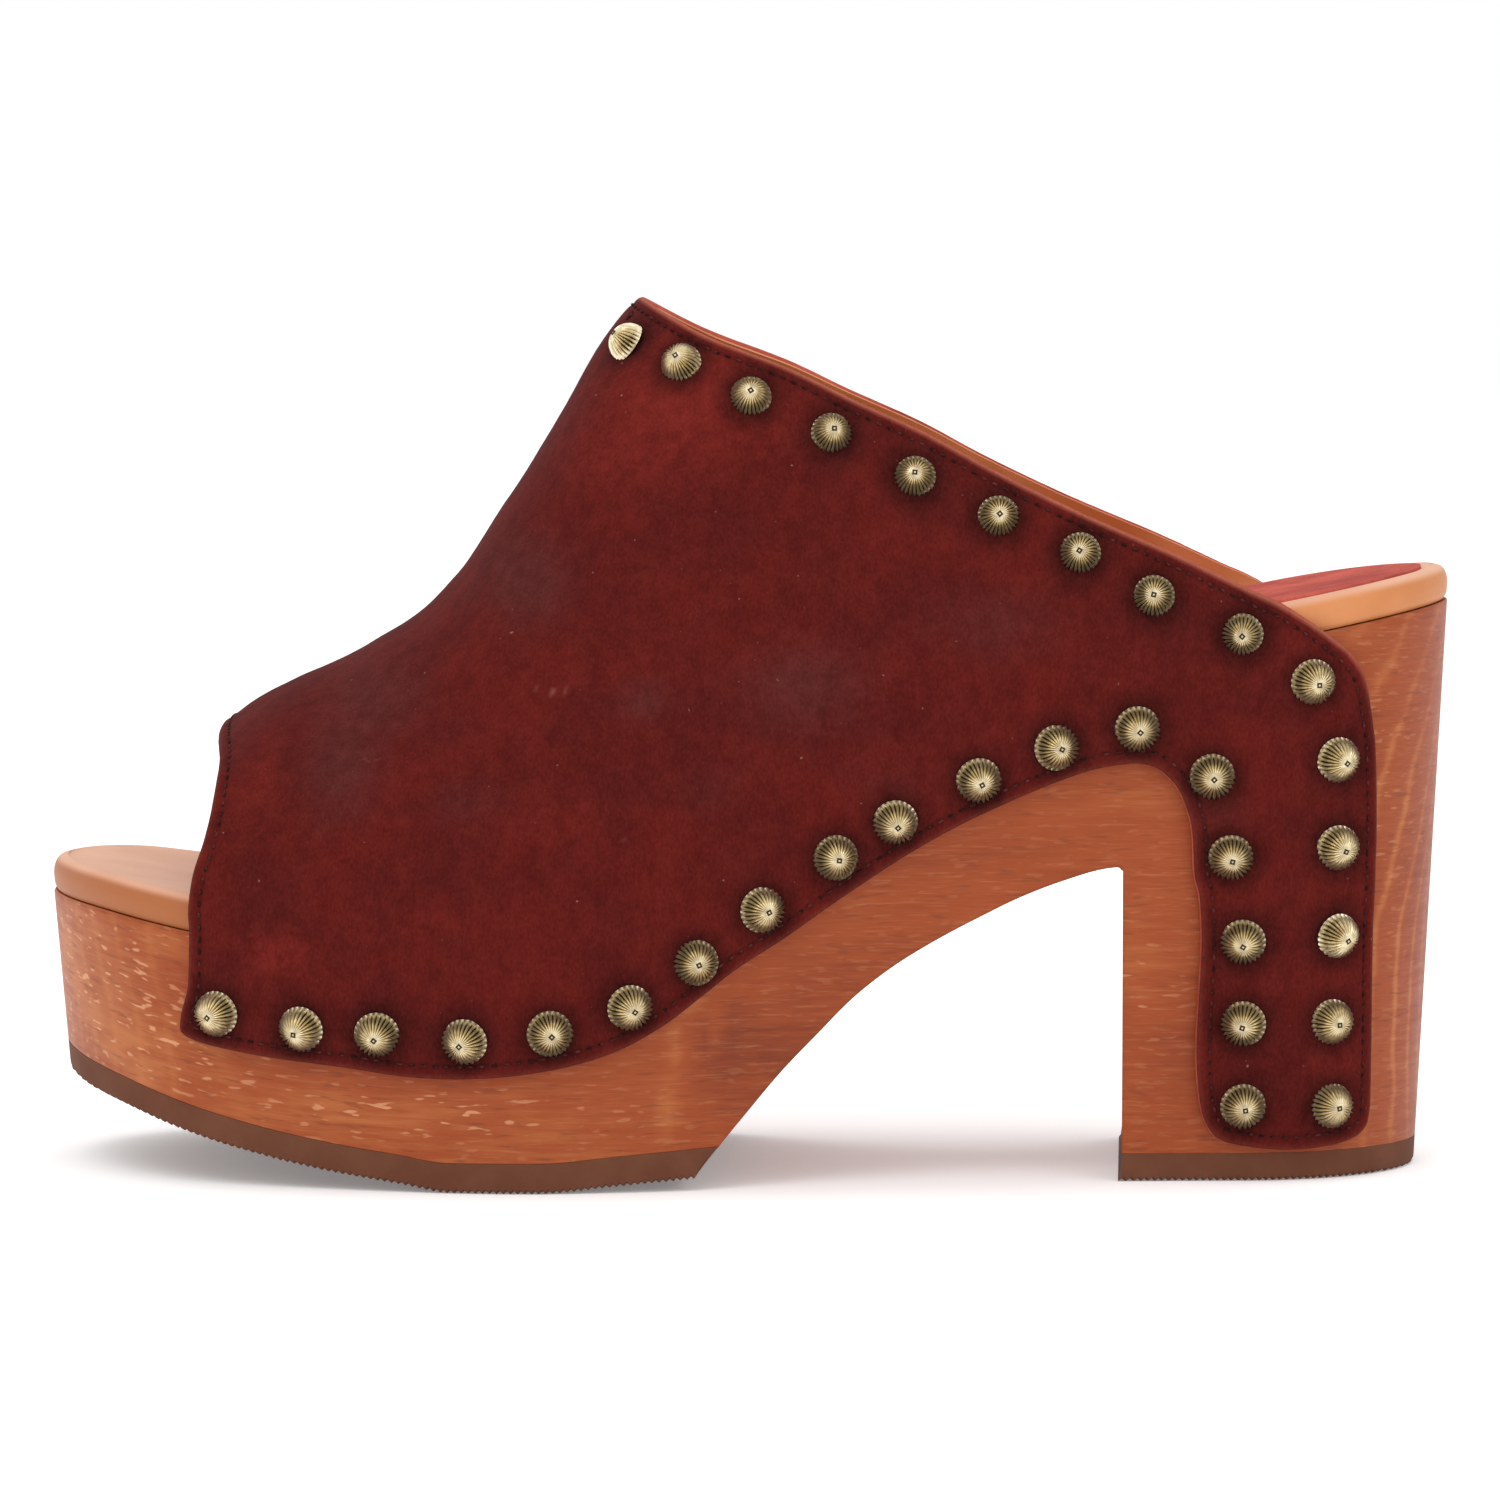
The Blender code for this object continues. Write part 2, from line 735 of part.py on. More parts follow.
def leather_seat(row, side):
    """Place and outward direction on the leather's face for a stud."""
    height = edge_height(row) + UPPER_TILT * measured_side() * (1.0 + side)
    outward = leather_normal(row.at, height, side)
    wall = outward * LEATHER
    under = skin_point(row.at - wall.x / LENGTH, height - wall.z, side)
    return under + wall, outward


def stud_mesh(name, radius, sink=0.0):
    """A domed stud head with its flat back at the origin, or sunk under it."""
    shape = bmesh.new()
    points = [Vector((0.0, 0.0, -sink)), Vector((radius, 0.0, -sink))]
    for bead in STUD_DOME[1 if sink == 0.0 else 0:]:
        points.append(Vector((radius * (1.0 - bead.inset), 0.0, STUD_HEIGHT * bead.height)))
    points.append(Vector((0.0, 0.0, STUD_HEIGHT)))
    verts = [shape.verts.new(point) for point in points]
    edges = [shape.edges.new(pair) for pair in zip(verts, verts[1:])]
    bmesh.ops.spin(
        shape,
        geom=verts + edges,
        cent=(0.0, 0.0, 0.0),
        axis=(0.0, 0.0, 1.0),
        angle=2.0 * math.pi,
        steps=STUD_SIDES,
    )
    bmesh.ops.remove_doubles(shape, verts=shape.verts, dist=1e-6)
    return finish_mesh(shape, name)


def stud_turn(outward):
    """Turn that stands a stud up along a direction."""
    return Vector((0.0, 0.0, 1.0)).rotation_difference(outward)


def make_rivets():
    """The collar's studs, joined to make one operand of the upper."""
    head = stud_mesh("rivet", RIVET_RADIUS, RIVET_SINK)
    shape = bmesh.new()
    for side in (OUTER, INNER):
        for row in RIVETS:
            place, outward = leather_seat(row, side)
            single = head.copy()
            single.transform(Matrix.Translation(place) @ stud_turn(outward).to_matrix().to_4x4())
            shape.from_mesh(single)
            bpy.data.meshes.remove(single)
    bpy.data.meshes.remove(head)
    return add_object("rivets", finish_mesh(shape, "rivets"))


def make_upper(material):
    """The hollow leather upper, cut to its pattern, with its riveted collar."""
    outline = [(length_place(row.at), edge_height(row)) for row in PATTERN]
    pattern = side_prism("pattern", outline, tilt=UPPER_TILT)
    piece = add_object("upper", make_skin(), material)
    wall = piece.modifiers.new("Wall", "SOLIDIFY")
    wall.thickness = LEATHER
    wall.offset = 1.0
    wall.use_even_offset = True
    cut_with(piece, pattern, "INTERSECT")
    cut_with(piece, make_rivets(), "UNION")


def make_nails(material):
    """One stud for each nail on both sides."""
    head = stud_mesh("stud", STUD_RADIUS)
    head.materials.append(material)
    head.shade_smooth()
    head.set_sharp_from_angle(angle=STUD_SMOOTH_ANGLE)
    for side, side_name in ((OUTER, "outer"), (INNER, "inner")):
        for number, row in enumerate(NAILS, start=1):
            place, outward = leather_seat(row, side)
            piece = add_object(f"stud_{side_name}_{number:02d}", head)
            piece.location = place + outward * GAP
            piece.rotation_euler = stud_turn(outward).to_euler()


def main():
    """Build every piece."""
    for old in list(bpy.data.objects):
        bpy.data.objects.remove(old, do_unlink=True)
    wood = make_material("alder", (0.46, 0.15, 0.06), 0.45)
    rubber = make_material("brown_rubber", (0.14, 0.055, 0.03), 0.7)
    tan = make_material("tan_leather", (0.55, 0.22, 0.09), 0.5)
    rose = make_material("rose_suede", (0.37, 0.08, 0.07), 0.9)
    oxblood = make_material("oxblood_suede", (0.12, 0.008, 0.01), 0.85)
    brass = make_material("antique_brass", (0.50, 0.33, 0.13), 0.35, metallic=1.0)
    cutter = make_arch_cutter()
    make_wood_sole(cutter, wood)
    make_forefoot_outsole(cutter, rubber)
    make_heel_lift(cutter, rubber)
    make_footbed(tan)
    make_heel_pad(rose)
    make_upper(oxblood)
    make_nails(brass)


main()
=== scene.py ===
"""Looks of a left wooden sandal: studded suede upper, padded footbed, carved alder sole.

Metres, +Z up, toe along -X, outer side of the foot along -Y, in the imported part's frame.
"""

import logging
import math
import random
from bisect import bisect_right
from collections.abc import Callable, Sequence
from dataclasses import dataclass, field
from enum import Enum
from typing import NamedTuple

import bmesh
import bpy
from mathutils import Matrix, Vector, noise
from mathutils.geometry import delaunay_2d_cdt
from mathutils.kdtree import KDTree

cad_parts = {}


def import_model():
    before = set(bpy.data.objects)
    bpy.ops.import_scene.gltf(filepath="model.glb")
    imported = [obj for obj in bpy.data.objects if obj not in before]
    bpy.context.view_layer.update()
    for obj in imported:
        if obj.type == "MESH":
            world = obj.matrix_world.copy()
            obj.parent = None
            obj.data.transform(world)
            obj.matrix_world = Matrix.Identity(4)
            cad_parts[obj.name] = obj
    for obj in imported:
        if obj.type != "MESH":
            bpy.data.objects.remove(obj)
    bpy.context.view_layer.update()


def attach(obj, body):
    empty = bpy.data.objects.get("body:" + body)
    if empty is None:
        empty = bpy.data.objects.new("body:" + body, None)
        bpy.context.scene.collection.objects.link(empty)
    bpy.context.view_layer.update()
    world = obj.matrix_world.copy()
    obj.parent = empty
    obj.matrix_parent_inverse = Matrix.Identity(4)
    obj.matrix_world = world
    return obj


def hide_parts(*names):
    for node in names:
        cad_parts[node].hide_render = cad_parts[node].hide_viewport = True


# Points nearer than this are one, and a piece this thin is nothing
MERGE = 3e-6
THIN = 1e-6
LOG = logging.getLogger("sandal")
MM = 0.001
BODY = "root"

Colour = tuple[float, float, float]
Place = tuple[float, float, float]
Columns = list[list[Vector]]


class Side(Enum):
    """The sides of the foot, by the sign of Y."""

    OUTER = -1.0
    INNER = 1.0


class Curve:
    """A smooth line through a table's points that never overshoots them."""

    def __init__(self, points: dict[float, float]) -> None:
        """Keep the points and work out the slope at each.

        Args:
            points: value for each key.
        """
        self.keys = sorted(points)
        self.values = [points[key] for key in self.keys]
        steps = list(zip(self.values, self.values[1:], self.keys, self.keys[1:]))
        slopes = [(b - a) / (v - u) for a, b, u, v in steps]
        inner = [2 * p * q / (p + q) if p * q > 0 else 0.0 for p, q in zip(slopes, slopes[1:])]
        self.tangents = [slopes[0], *inner, slopes[-1]]

    def __call__(self, at: float) -> float:
        """Value at any key, held level past both ends."""
        if at <= self.keys[0]:
            return self.values[0]
        if at >= self.keys[-1]:
            return self.values[-1]
        row = bisect_right(self.keys, at) - 1
        width = self.keys[row + 1] - self.keys[row]
        t = (at - self.keys[row]) / width
        start = self.values[row] * (1 + 2 * t) + self.tangents[row] * width * t
        end = self.values[row + 1] * (3 - 2 * t) + self.tangents[row + 1] * width * (t - 1)
        return start * (1 - t) ** 2 + end * t * t


HALF_WIDTH = Curve({0.0: 0.80, 0.08: 0.85, 0.16: 0.92, 0.25: 0.98, 0.33: 1.0, 0.42: 0.94, 0.50: 0.84,
                    0.58: 0.75, 0.66: 0.70, 0.76: 0.69, 0.88: 0.70, 1.0: 0.69})
MIDDLE = Curve({0.0: 0.21, 0.08: 0.14, 0.16: 0.08, 0.25: 0.03, 0.33: -0.01, 0.42: -0.03, 0.50: -0.04,
                0.58: -0.045, 0.66: -0.035, 0.76: -0.005, 0.88: 0.02, 1.0: 0.02})
SEAT_TOE = Curve({0.0: 1.0, 0.04: 0.86, 0.08: 0.64, 0.12: 0.41, 0.18: 0.12, 0.24: 0.0, 0.30: 0.0})
SEAT_HEEL = Curve({0.0: 0.0, 0.24: 0.0, 0.30: 0.008, 0.36: 0.046, 0.42: 0.125, 0.48: 0.235, 0.54: 0.367,
                   0.60: 0.502, 0.66: 0.626, 0.72: 0.730, 0.78: 0.811, 0.84: 0.873, 0.90: 0.923,
                   0.95: 0.962, 1.0: 1.0})
TREAD_TOE = Curve({0.0: 1.0, 0.02: 0.905, 0.05: 0.78, 0.09: 0.592, 0.13: 0.421, 0.17: 0.28, 0.21: 0.17,
                   0.25: 0.08, 0.285: 0.0, 0.35: 0.0})
TREAD_BACK = Curve({0.0: 0.0, 0.35: 0.0, 0.40: 0.42, 0.44: 0.75, 0.48: 1.0, 1.0: 1.0})
ARCH = Curve({0.453: -0.05, 0.466: 0.045, 0.480: 0.126, 0.502: 0.246, 0.525: 0.368, 0.549: 0.479,
              0.576: 0.600, 0.604: 0.696, 0.633: 0.774, 0.662: 0.842, 0.692: 0.907, 0.721: 0.956,
              0.751: 0.994, 0.7625: 1.0})
BREAST = 0.7625

RIDGE_AT = (0.090, 0.117, 0.154, 0.180, 0.209, 0.235, 0.268, 0.299, 0.321, 0.343, 0.364, 0.399, 0.425,
            0.470, 0.530, 0.620, 0.720, 0.820, 0.900, 1.0)
RISE = Curve(dict(zip(RIDGE_AT, (
    0.285, 0.316, 0.387, 0.425, 0.460, 0.495, 0.547, 0.625, 0.700, 0.770, 0.842, 0.957, 1.005, 1.030,
    0.960, 0.840, 0.690, 0.560, 0.470, 0.400))))
FULLNESS = Curve(dict(zip(RIDGE_AT, (
    2.40, 2.40, 2.30, 2.20, 2.10, 2.00, 1.85, 1.70, 1.60, 1.50, 1.42, 1.32, 1.25, 1.20, 1.15, 1.15,
    1.20, 1.30, 1.40, 1.40))))
RIDGE_MIDDLE = Curve(dict(zip(RIDGE_AT, (
    0.08, 0.08, 0.09, 0.09, 0.10, 0.10, 0.10, 0.10, 0.09, 0.08, 0.08, 0.07, 0.06, 0.04, 0.02, 0.02,
    0.02, 0.02, 0.02, 0.02))))


class Mark(NamedTuple):
    """A point of the upper seen from the side.

    level over 0 is a share of the instep's rise, up from the seat, and under 0 a share
    of the seat's height over the heel lift, down from it.
    """

    at: float
    level: float


FRONT_EDGE = (
    Mark(0.104, -0.430), Mark(0.105, -0.372), Mark(0.1107, -0.219), Mark(0.1118, 0.003),
    Mark(0.1112, 0.036), Mark(0.114, 0.092), Mark(0.123, 0.167), Mark(0.127, 0.220),
    Mark(0.129, 0.279), Mark(0.123, 0.319), Mark(0.116, 0.400),
)
BACK_EDGE = (
    Mark(0.403, 1.050), Mark(0.4275, 0.991), Mark(0.469, 0.894), Mark(0.530, 0.763), Mark(0.574, 0.656),
    Mark(0.625, 0.538), Mark(0.671, 0.427), Mark(0.732, 0.299), Mark(0.802, 0.177), Mark(0.849, 0.098),
    Mark(0.870, 0.065), Mark(0.905, -0.006), Mark(0.9235, -0.059), Mark(0.933, -0.112),
    Mark(0.937, -0.172), Mark(0.9405, -0.242), Mark(0.942, -0.386), Mark(0.9415, -0.483),
    Mark(0.940, -0.617), Mark(0.940, -0.761), Mark(0.9398, -0.909), Mark(0.938, -0.950),
)
LOWER_EDGE = (
    Mark(0.938, -0.950), Mark(0.9295, -0.975), Mark(0.9105, -0.988), Mark(0.8795, -0.993),
    Mark(0.847, -0.983), Mark(0.8295, -0.968), Mark(0.821, -0.937), Mark(0.8165, -0.890),
    Mark(0.814, -0.787), Mark(0.817, -0.581), Mark(0.8155, -0.478), Mark(0.812, -0.436),
    Mark(0.8095, -0.332), Mark(0.804, -0.278), Mark(0.797, -0.238), Mark(0.783, -0.196),
    Mark(0.765, -0.177), Mark(0.7305, -0.170), Mark(0.662, -0.187), Mark(0.613, -0.211),
    Mark(0.564, -0.255), Mark(0.5255, -0.303), Mark(0.492, -0.344), Mark(0.4675, -0.400),
    Mark(0.443, -0.462), Mark(0.410, -0.524), Mark(0.375, -0.555), Mark(0.331, -0.573),
    Mark(0.296, -0.575), Mark(0.260, -0.561), Mark(0.223, -0.529), Mark(0.169, -0.506),
    Mark(0.1325, -0.487), Mark(0.1125, -0.466), Mark(0.104, -0.430),
)
RIVETS = (
    Mark(0.416, 0.934), Mark(0.4535, 0.865), Mark(0.5025, 0.754), Mark(0.559, 0.621),
    Mark(0.617, 0.477), Mark(0.675, 0.346), Mark(0.7315, 0.233), Mark(0.7825, 0.125),
    Mark(0.844, 0.026),
)
NAILS = (
    Mark(0.895, -0.09), Mark(0.916, -0.249), Mark(0.919, -0.4175), Mark(0.922, -0.586),
    Mark(0.921, -0.75), Mark(0.924, -0.911), Mark(0.8575, -0.905), Mark(0.855, -0.741),
    Mark(0.8525, -0.579), Mark(0.8415, -0.409), Mark(0.826, -0.241), Mark(0.772, -0.11),
    Mark(0.7155, -0.098), Mark(0.661, -0.105), Mark(0.6025, -0.115), Mark(0.561, -0.133),
    Mark(0.51, -0.185), Mark(0.4635, -0.271), Mark(0.4175, -0.364), Mark(0.362, -0.403),
    Mark(0.3025, -0.404), Mark(0.2415, -0.37), Mark(0.188, -0.363), Mark(0.1275, -0.34),
)


class Spot(NamedTuple):
    """A soft-edged patch on a side, seen from that side, in millimetres in the part's frame."""

    x: float
    z: float
    reach_x: float
    reach_z: float
    strength: float


# Where the suede is brighter and redder, greyer and darker, and rubbed pale
WARM_SPOTS = (
    Spot(-20, 119, 16, 10, 0.6), Spot(-10, 132, 12, 8, 1.0), Spot(8, 124, 16, 6, 0.5),
    Spot(-76, 39, 7, 5, 0.8),
    Spot(-52, 45, 12, 4, 0.3), Spot(-30, 62, 10, 7, 0.5), Spot(92, 84, 9, 8, 0.7),
    Spot(-80, 66, 5, 12, 0.5), Spot(60, 70, 14, 6, 0.4), Spot(96, 20, 7, 9, 0.5),
)
COOL_SPOTS = (
    Spot(-36, 99, 9, 9, 0.9), Spot(-17, 80, 6, 5, 0.7), Spot(9, 82, 13, 9, 0.8),
    Spot(-60, 80, 11, 7, 0.7), Spot(40, 92, 14, 8, 0.6), Spot(-45, 64, 8, 5, 0.5),
    Spot(-66, 67, 8, 9, 0.8), Spot(24, 66, 10, 6, 0.4), Spot(-6, 66, 9, 5, 0.4),
    Spot(76, 62, 8, 10, 0.5),
)
PALE_SPOTS = (
    Spot(-32, 81.6, 4.5, 0.5, 0.9), Spot(-61, 70, 3.2, 0.4, 0.7), Spot(-20, 58, 5.0, 0.5, 0.5),
    Spot(22, 76, 0.5, 3.5, 0.5), Spot(-70, 60, 5.0, 4.0, 0.35), Spot(-4, 96, 6.0, 0.6, 0.4),
)
# Soft hollows (over 0) and swells (under 0) of the leather
FOLDS = (
    Spot(-48, 76, 16, 3.2, 0.55), Spot(-46, 84, 14, 3.6, -0.45), Spot(-24, 66, 18, 3.0, 0.45),
    Spot(-22, 74, 15, 4.0, -0.40), Spot(14, 74, 16, 3.4, 0.40), Spot(14, 82, 14, 4.2, -0.45),
    Spot(44, 86, 13, 3.2, 0.35), Spot(-66, 58, 7, 3.0, 0.35), Spot(84, 52, 4, 12, -0.30),
)
# Where the wood is darker (over 0) and paler (under 0): its own tone mixed with painted shade and painted
# light where the sides turn
WOOD_SPOTS = (
    Spot(-5.5, 24, 4.5, 7, 0.45), Spot(3, 20, 11, 13, 0.60), Spot(-11.5, 24, 1.6, 5, -0.5),
    Spot(-13.0, 13, 2.2, 5, -0.5), Spot(-8.5, 31, 2.4, 2.2, -0.8), Spot(-5.0, 27, 1.3, 3.5, -0.6),
    Spot(-112, 33, 12, 12, -0.55),
    Spot(-96, 24, 12, 5, -0.35), Spot(-60, 13, 26, 4, -0.30), Spot(35, 54, 26, 5, 0.30),
    Spot(66, 30, 5, 24, -0.15), Spot(106, 45, 6, 44, -0.50), Spot(20, 36, 12, 9, 0.45),
    Spot(-90, 34, 8, 2.5, 0.35), Spot(-113.5, 36, 1.3, 3.2, -0.5), Spot(-111, 31, 1.4, 3.2, -0.5),
    Spot(-108, 26, 1.6, 3.0, -0.5), Spot(-104, 21.5, 2.0, 2.6, -0.5), Spot(-99, 17.5, 3.0, 2.0, -0.45),
)
# Where the growth rings show
RING_SPOTS = (
    Spot(108, 45, 9, 50, 1.0), Spot(68, 26, 7, 14, 1.0), Spot(-110, 28, 6, 12, 0.12),
)
# Where the pale flecks show
FLECK_SPOTS = (
    Spot(-106, 34, 12, 14, 1.0), Spot(-90, 22, 14, 7, 0.8), Spot(-52, 13, 26, 4, 0.9),
    Spot(64, 32, 6, 8, 0.5), Spot(100, 60, 8, 20, 0.4),
)


def spread(spots: Sequence[Spot], x: float, z: float) -> float:
    """Sum of the patches at a place, in millimetres, each fading out like a bell."""
    total = 0.0
    for spot in spots:
        far = ((x - spot.x) / spot.reach_x) ** 2 + ((z - spot.z) / spot.reach_z) ** 2
        if far < 9.0:
            total += spot.strength * math.exp(-far)
    return total


@dataclass(frozen=True)
class Last:
    """The shape that the sandal is built on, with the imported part's sizes."""

    length: float = 0.234
    ball: float = 0.045
    platform: float = 0.0386
    heel: float = 0.0946
    toe_seat_rise: float = 0.0068
    toe_spring: float = 0.0152
    back_spring: float = 0.0022
    arch_height: float = 0.0520
    arch_skew: float = 0.055
    outsole: float = 0.0047
    lift: float = 0.0044
    toe_draft: float = 0.087
    heel_draft: float = 0.053
    side_draft: float = 0.035
    toe_round: float = 0.12
    heel_round: float = 0.14
    footbed: float = 0.0054
    footbed_edge: float = 0.0024
    instep_rise: float = 0.0985
    upper_tilt: float = 0.020
    leather: float = 0.0022
    rim_clearance: float = 0.0010
    gap: float = 0.0003
    breast_corner: float = 0.0008
    dish: float = 0.00055
    dish_round: float = 0.10

    def seat(self, at: float) -> float:
        """Height of the wood's top at a share of the length."""
        toe = self.toe_seat_rise * SEAT_TOE(at)
        return self.platform + toe + (self.heel - self.platform) * SEAT_HEEL(at)

    def tread(self, at: float) -> float:
        """Height of the forefoot rubber's underside."""
        return self.toe_spring * TREAD_TOE(at) + self.back_spring * TREAD_BACK(at)

    def middle(self, at: float) -> float:
        """Y of the sole's middle."""
        return self.ball * MIDDLE(at)

    def side_point(self, at: float, depth: float, side: Side, inset: float = 0.0) -> tuple[float, float]:
        """Top-view place of the sole's side.

        Args:
            at: share of the length.
            depth: distance under the seat, which draws the side in.
            side: outer or inner.
            inset: distance inwards from the side.

        Returns:
            X and Y of the place.
        """
        toe = -self.length / 2 + self.toe_draft * depth + inset
        heel = self.length / 2 - self.heel_draft * depth - inset
        half = self.ball * HALF_WIDTH(at) - self.side_draft * depth - inset
        half *= end_rounding(at / self.toe_round, (1.0 - at) / self.heel_round)
        return toe + at * (heel - toe), self.middle(at) + side.value * half

    def share(self, x: float, depth: float) -> float:
        """Share of the length of an X at a depth."""
        toe = -self.length / 2 + self.toe_draft * depth
        return (x - toe) / (self.length - (self.toe_draft + self.heel_draft) * depth)

    def off_middle(self, y: float) -> float:
        """Distance towards the inner side from the outer side, where outlines are measured."""
        return y + self.ball * HALF_WIDTH(BREAST)

    def breast(self, y: float) -> float:
        """X of the heel's front face."""
        return self.length * (BREAST - 0.5) + self.arch_skew * self.off_middle(y)

    def arch(self, x: float, y: float) -> float:
        """Height of the hollow between forefoot and heel.

        Args:
            x: X of the place.
            y: its Y.

        Returns:
            The height.
        """
        straight = x - self.arch_skew * self.off_middle(y)
        height = self.arch_height * ARCH(straight / self.length + 0.5)
        near = straight - (self.length * (BREAST - 0.5) - self.breast_corner)
        if near > 0.0:
            near = min(near, self.breast_corner)
            height -= self.breast_corner - math.sqrt(self.breast_corner**2 - near**2)
        return height

    def wood_floor(self, at: float) -> float:
        """Height of the wood's underside in front of the arch."""
        return self.tread(at) + self.outsole + self.gap

    def bed_top(self, at: float) -> float:
        """Height of the footbed's top along its rim."""
        return self.seat(at) + self.gap + self.footbed

    def bed_dish(self, at: float, across: float) -> float:
        """Drop of the footbed's soft top inside its rim; across goes from 0 to 1."""
        off = abs(2.0 * across - 1.0)
        ends = end_rounding(at / self.dish_round, (1.0 - at) / self.dish_round)
        return self.dish * (1.0 - off**3) * ends


def end_rounding(front: float, back: float) -> float:
    """Share of the width left by two round ends, from 0 at a tip to 1 past its round."""
    front_missing = 1.0 - min(max(front, 0.0), 1.0)
    back_missing = 1.0 - min(max(back, 0.0), 1.0)
    return math.sqrt(1.0 - front_missing**2) * math.sqrt(1.0 - back_missing**2)


LAST = Last()


@dataclass(frozen=True)
class Skin:
    """The leather's surface over the last, as a flat map of x and girth.

    x is along the sandal. girth is 0 where the leather leaves the sole's outer side,
    negative down that side, and grows over the ridge to the inner side.
    """

    last: Last = LAST
    unit: float = 0.055
    step: float = 0.0006
    slope_step: float = 0.01

    @property
    def ridge_girth(self) -> float:
        """Girth at the ridge."""
        return self.unit * math.pi / 2

    def base(self, at: float) -> float:
        """Height where the sides start to lean in."""
        return self.last.bed_top(at) + self.last.rim_clearance

    def ridge(self, at: float) -> float:
        """Height of the leather's inside along the ridge."""
        rise = self.ridge_outside(at + self.slope_step) - self.ridge_outside(at - self.slope_step)
        slope = rise / (2.0 * self.slope_step * self.last.length)
        return self.ridge_outside(at) - self.last.leather * math.sqrt(1.0 + slope * slope)

    def ridge_outside(self, at: float) -> float:
        """Height of the leather's outside along the ridge."""
        return self.last.seat(at) + self.last.instep_rise * RISE(at)

    def wall(self, at: float, depth: float, side: Side) -> Vector:
        """Inside of the leather against the sole."""
        x, y = self.last.side_point(at, max(0.0, depth), side)
        return Vector((x, y + side.value * self.last.gap, self.last.seat(at) - depth))

    def inside(self, x: float, girth: float) -> Vector:
        """A point of the leather's inside."""
        at = x / self.last.length + 0.5
        side, across = Side.OUTER, girth
        if girth > self.ridge_girth:
            side, across = Side.INNER, 2.0 * self.ridge_girth - girth
        base = self.base(at)
        if across <= 0.0:
            return self.wall(at, self.last.seat(at) - base - across, side)
        foot = self.wall(at, 0.0, side)
        middle = self.last.ball * RIDGE_MIDDLE(at)
        share = math.sin(across / self.unit)
        y = middle + (foot.y - middle) * math.sqrt(max(0.0, 1.0 - share ** FULLNESS(at)))
        return Vector((foot.x, y, base + (self.ridge(at) - base) * share))

    def outward(self, x: float, girth: float) -> Vector:
        """Outward direction of the leather."""
        along = self.inside(x + self.step, girth) - self.inside(x - self.step, girth)
        up = self.inside(x, girth + self.step) - self.inside(x, girth - self.step)
        return along.cross(up).normalized()

    def face(self, x: float, girth: float) -> Vector:
        """A point of the leather's outside."""
        return self.inside(x, girth) + self.outward(x, girth) * self.last.leather

    def girth_at(self, at: float, height: float, side: Side) -> float:
        """Girth of a height on one side.

        Args:
            at: share of the length.
            height: the height.
            side: outer or inner.

        Returns:
            The girth.
        """
        base = self.base(at)
        if height <= base:
            across = height - base
        else:
            across = self.unit * math.asin(min(1.0, (height - base) / (self.ridge(at) - base)))
        return across if side is Side.OUTER else 2.0 * self.ridge_girth - across

    def side_view(self, point: Vector) -> tuple[float, float]:
        """X and height of a point as the outline measures them."""
        return point.x, point.z - self.last.upper_tilt * self.last.off_middle(point.y)

    def mark_height(self, mark: Mark) -> float:
        """Height of a mark of the outline."""
        seat = self.last.seat(mark.at)
        reach = self.last.instep_rise if mark.level >= 0.0 else seat - self.last.lift - self.last.gap
        return seat + mark.level * reach

    def stud_seat(self, mark: Mark, side: Side) -> tuple[Vector, Vector]:
        """Where a stud stands on the leather.

        Args:
            mark: the stud's mark, measured on the outer side.
            side: outer or inner.

        Returns:
            The place on the leather's outside and the outward direction.
        """
        reach = self.last.off_middle(0.0)
        height = self.mark_height(mark) + self.last.upper_tilt * reach * (1.0 + side.value)
        x = self.last.length * (mark.at - 0.5)
        outward = self.outward(x, self.girth_at(mark.at, height, side))
        wall = outward * self.last.leather
        at = mark.at - wall.x / self.last.length
        under = self.inside(self.last.length * (at - 0.5), self.girth_at(at, height - wall.z, side))
        return under + wall, outward


class EdgePoint(NamedTuple):
    """A point of the upper's cut edge: its place on the map and in space, and the map's step inwards."""

    flat: Vector
    place: Vector
    inward_flat: Vector


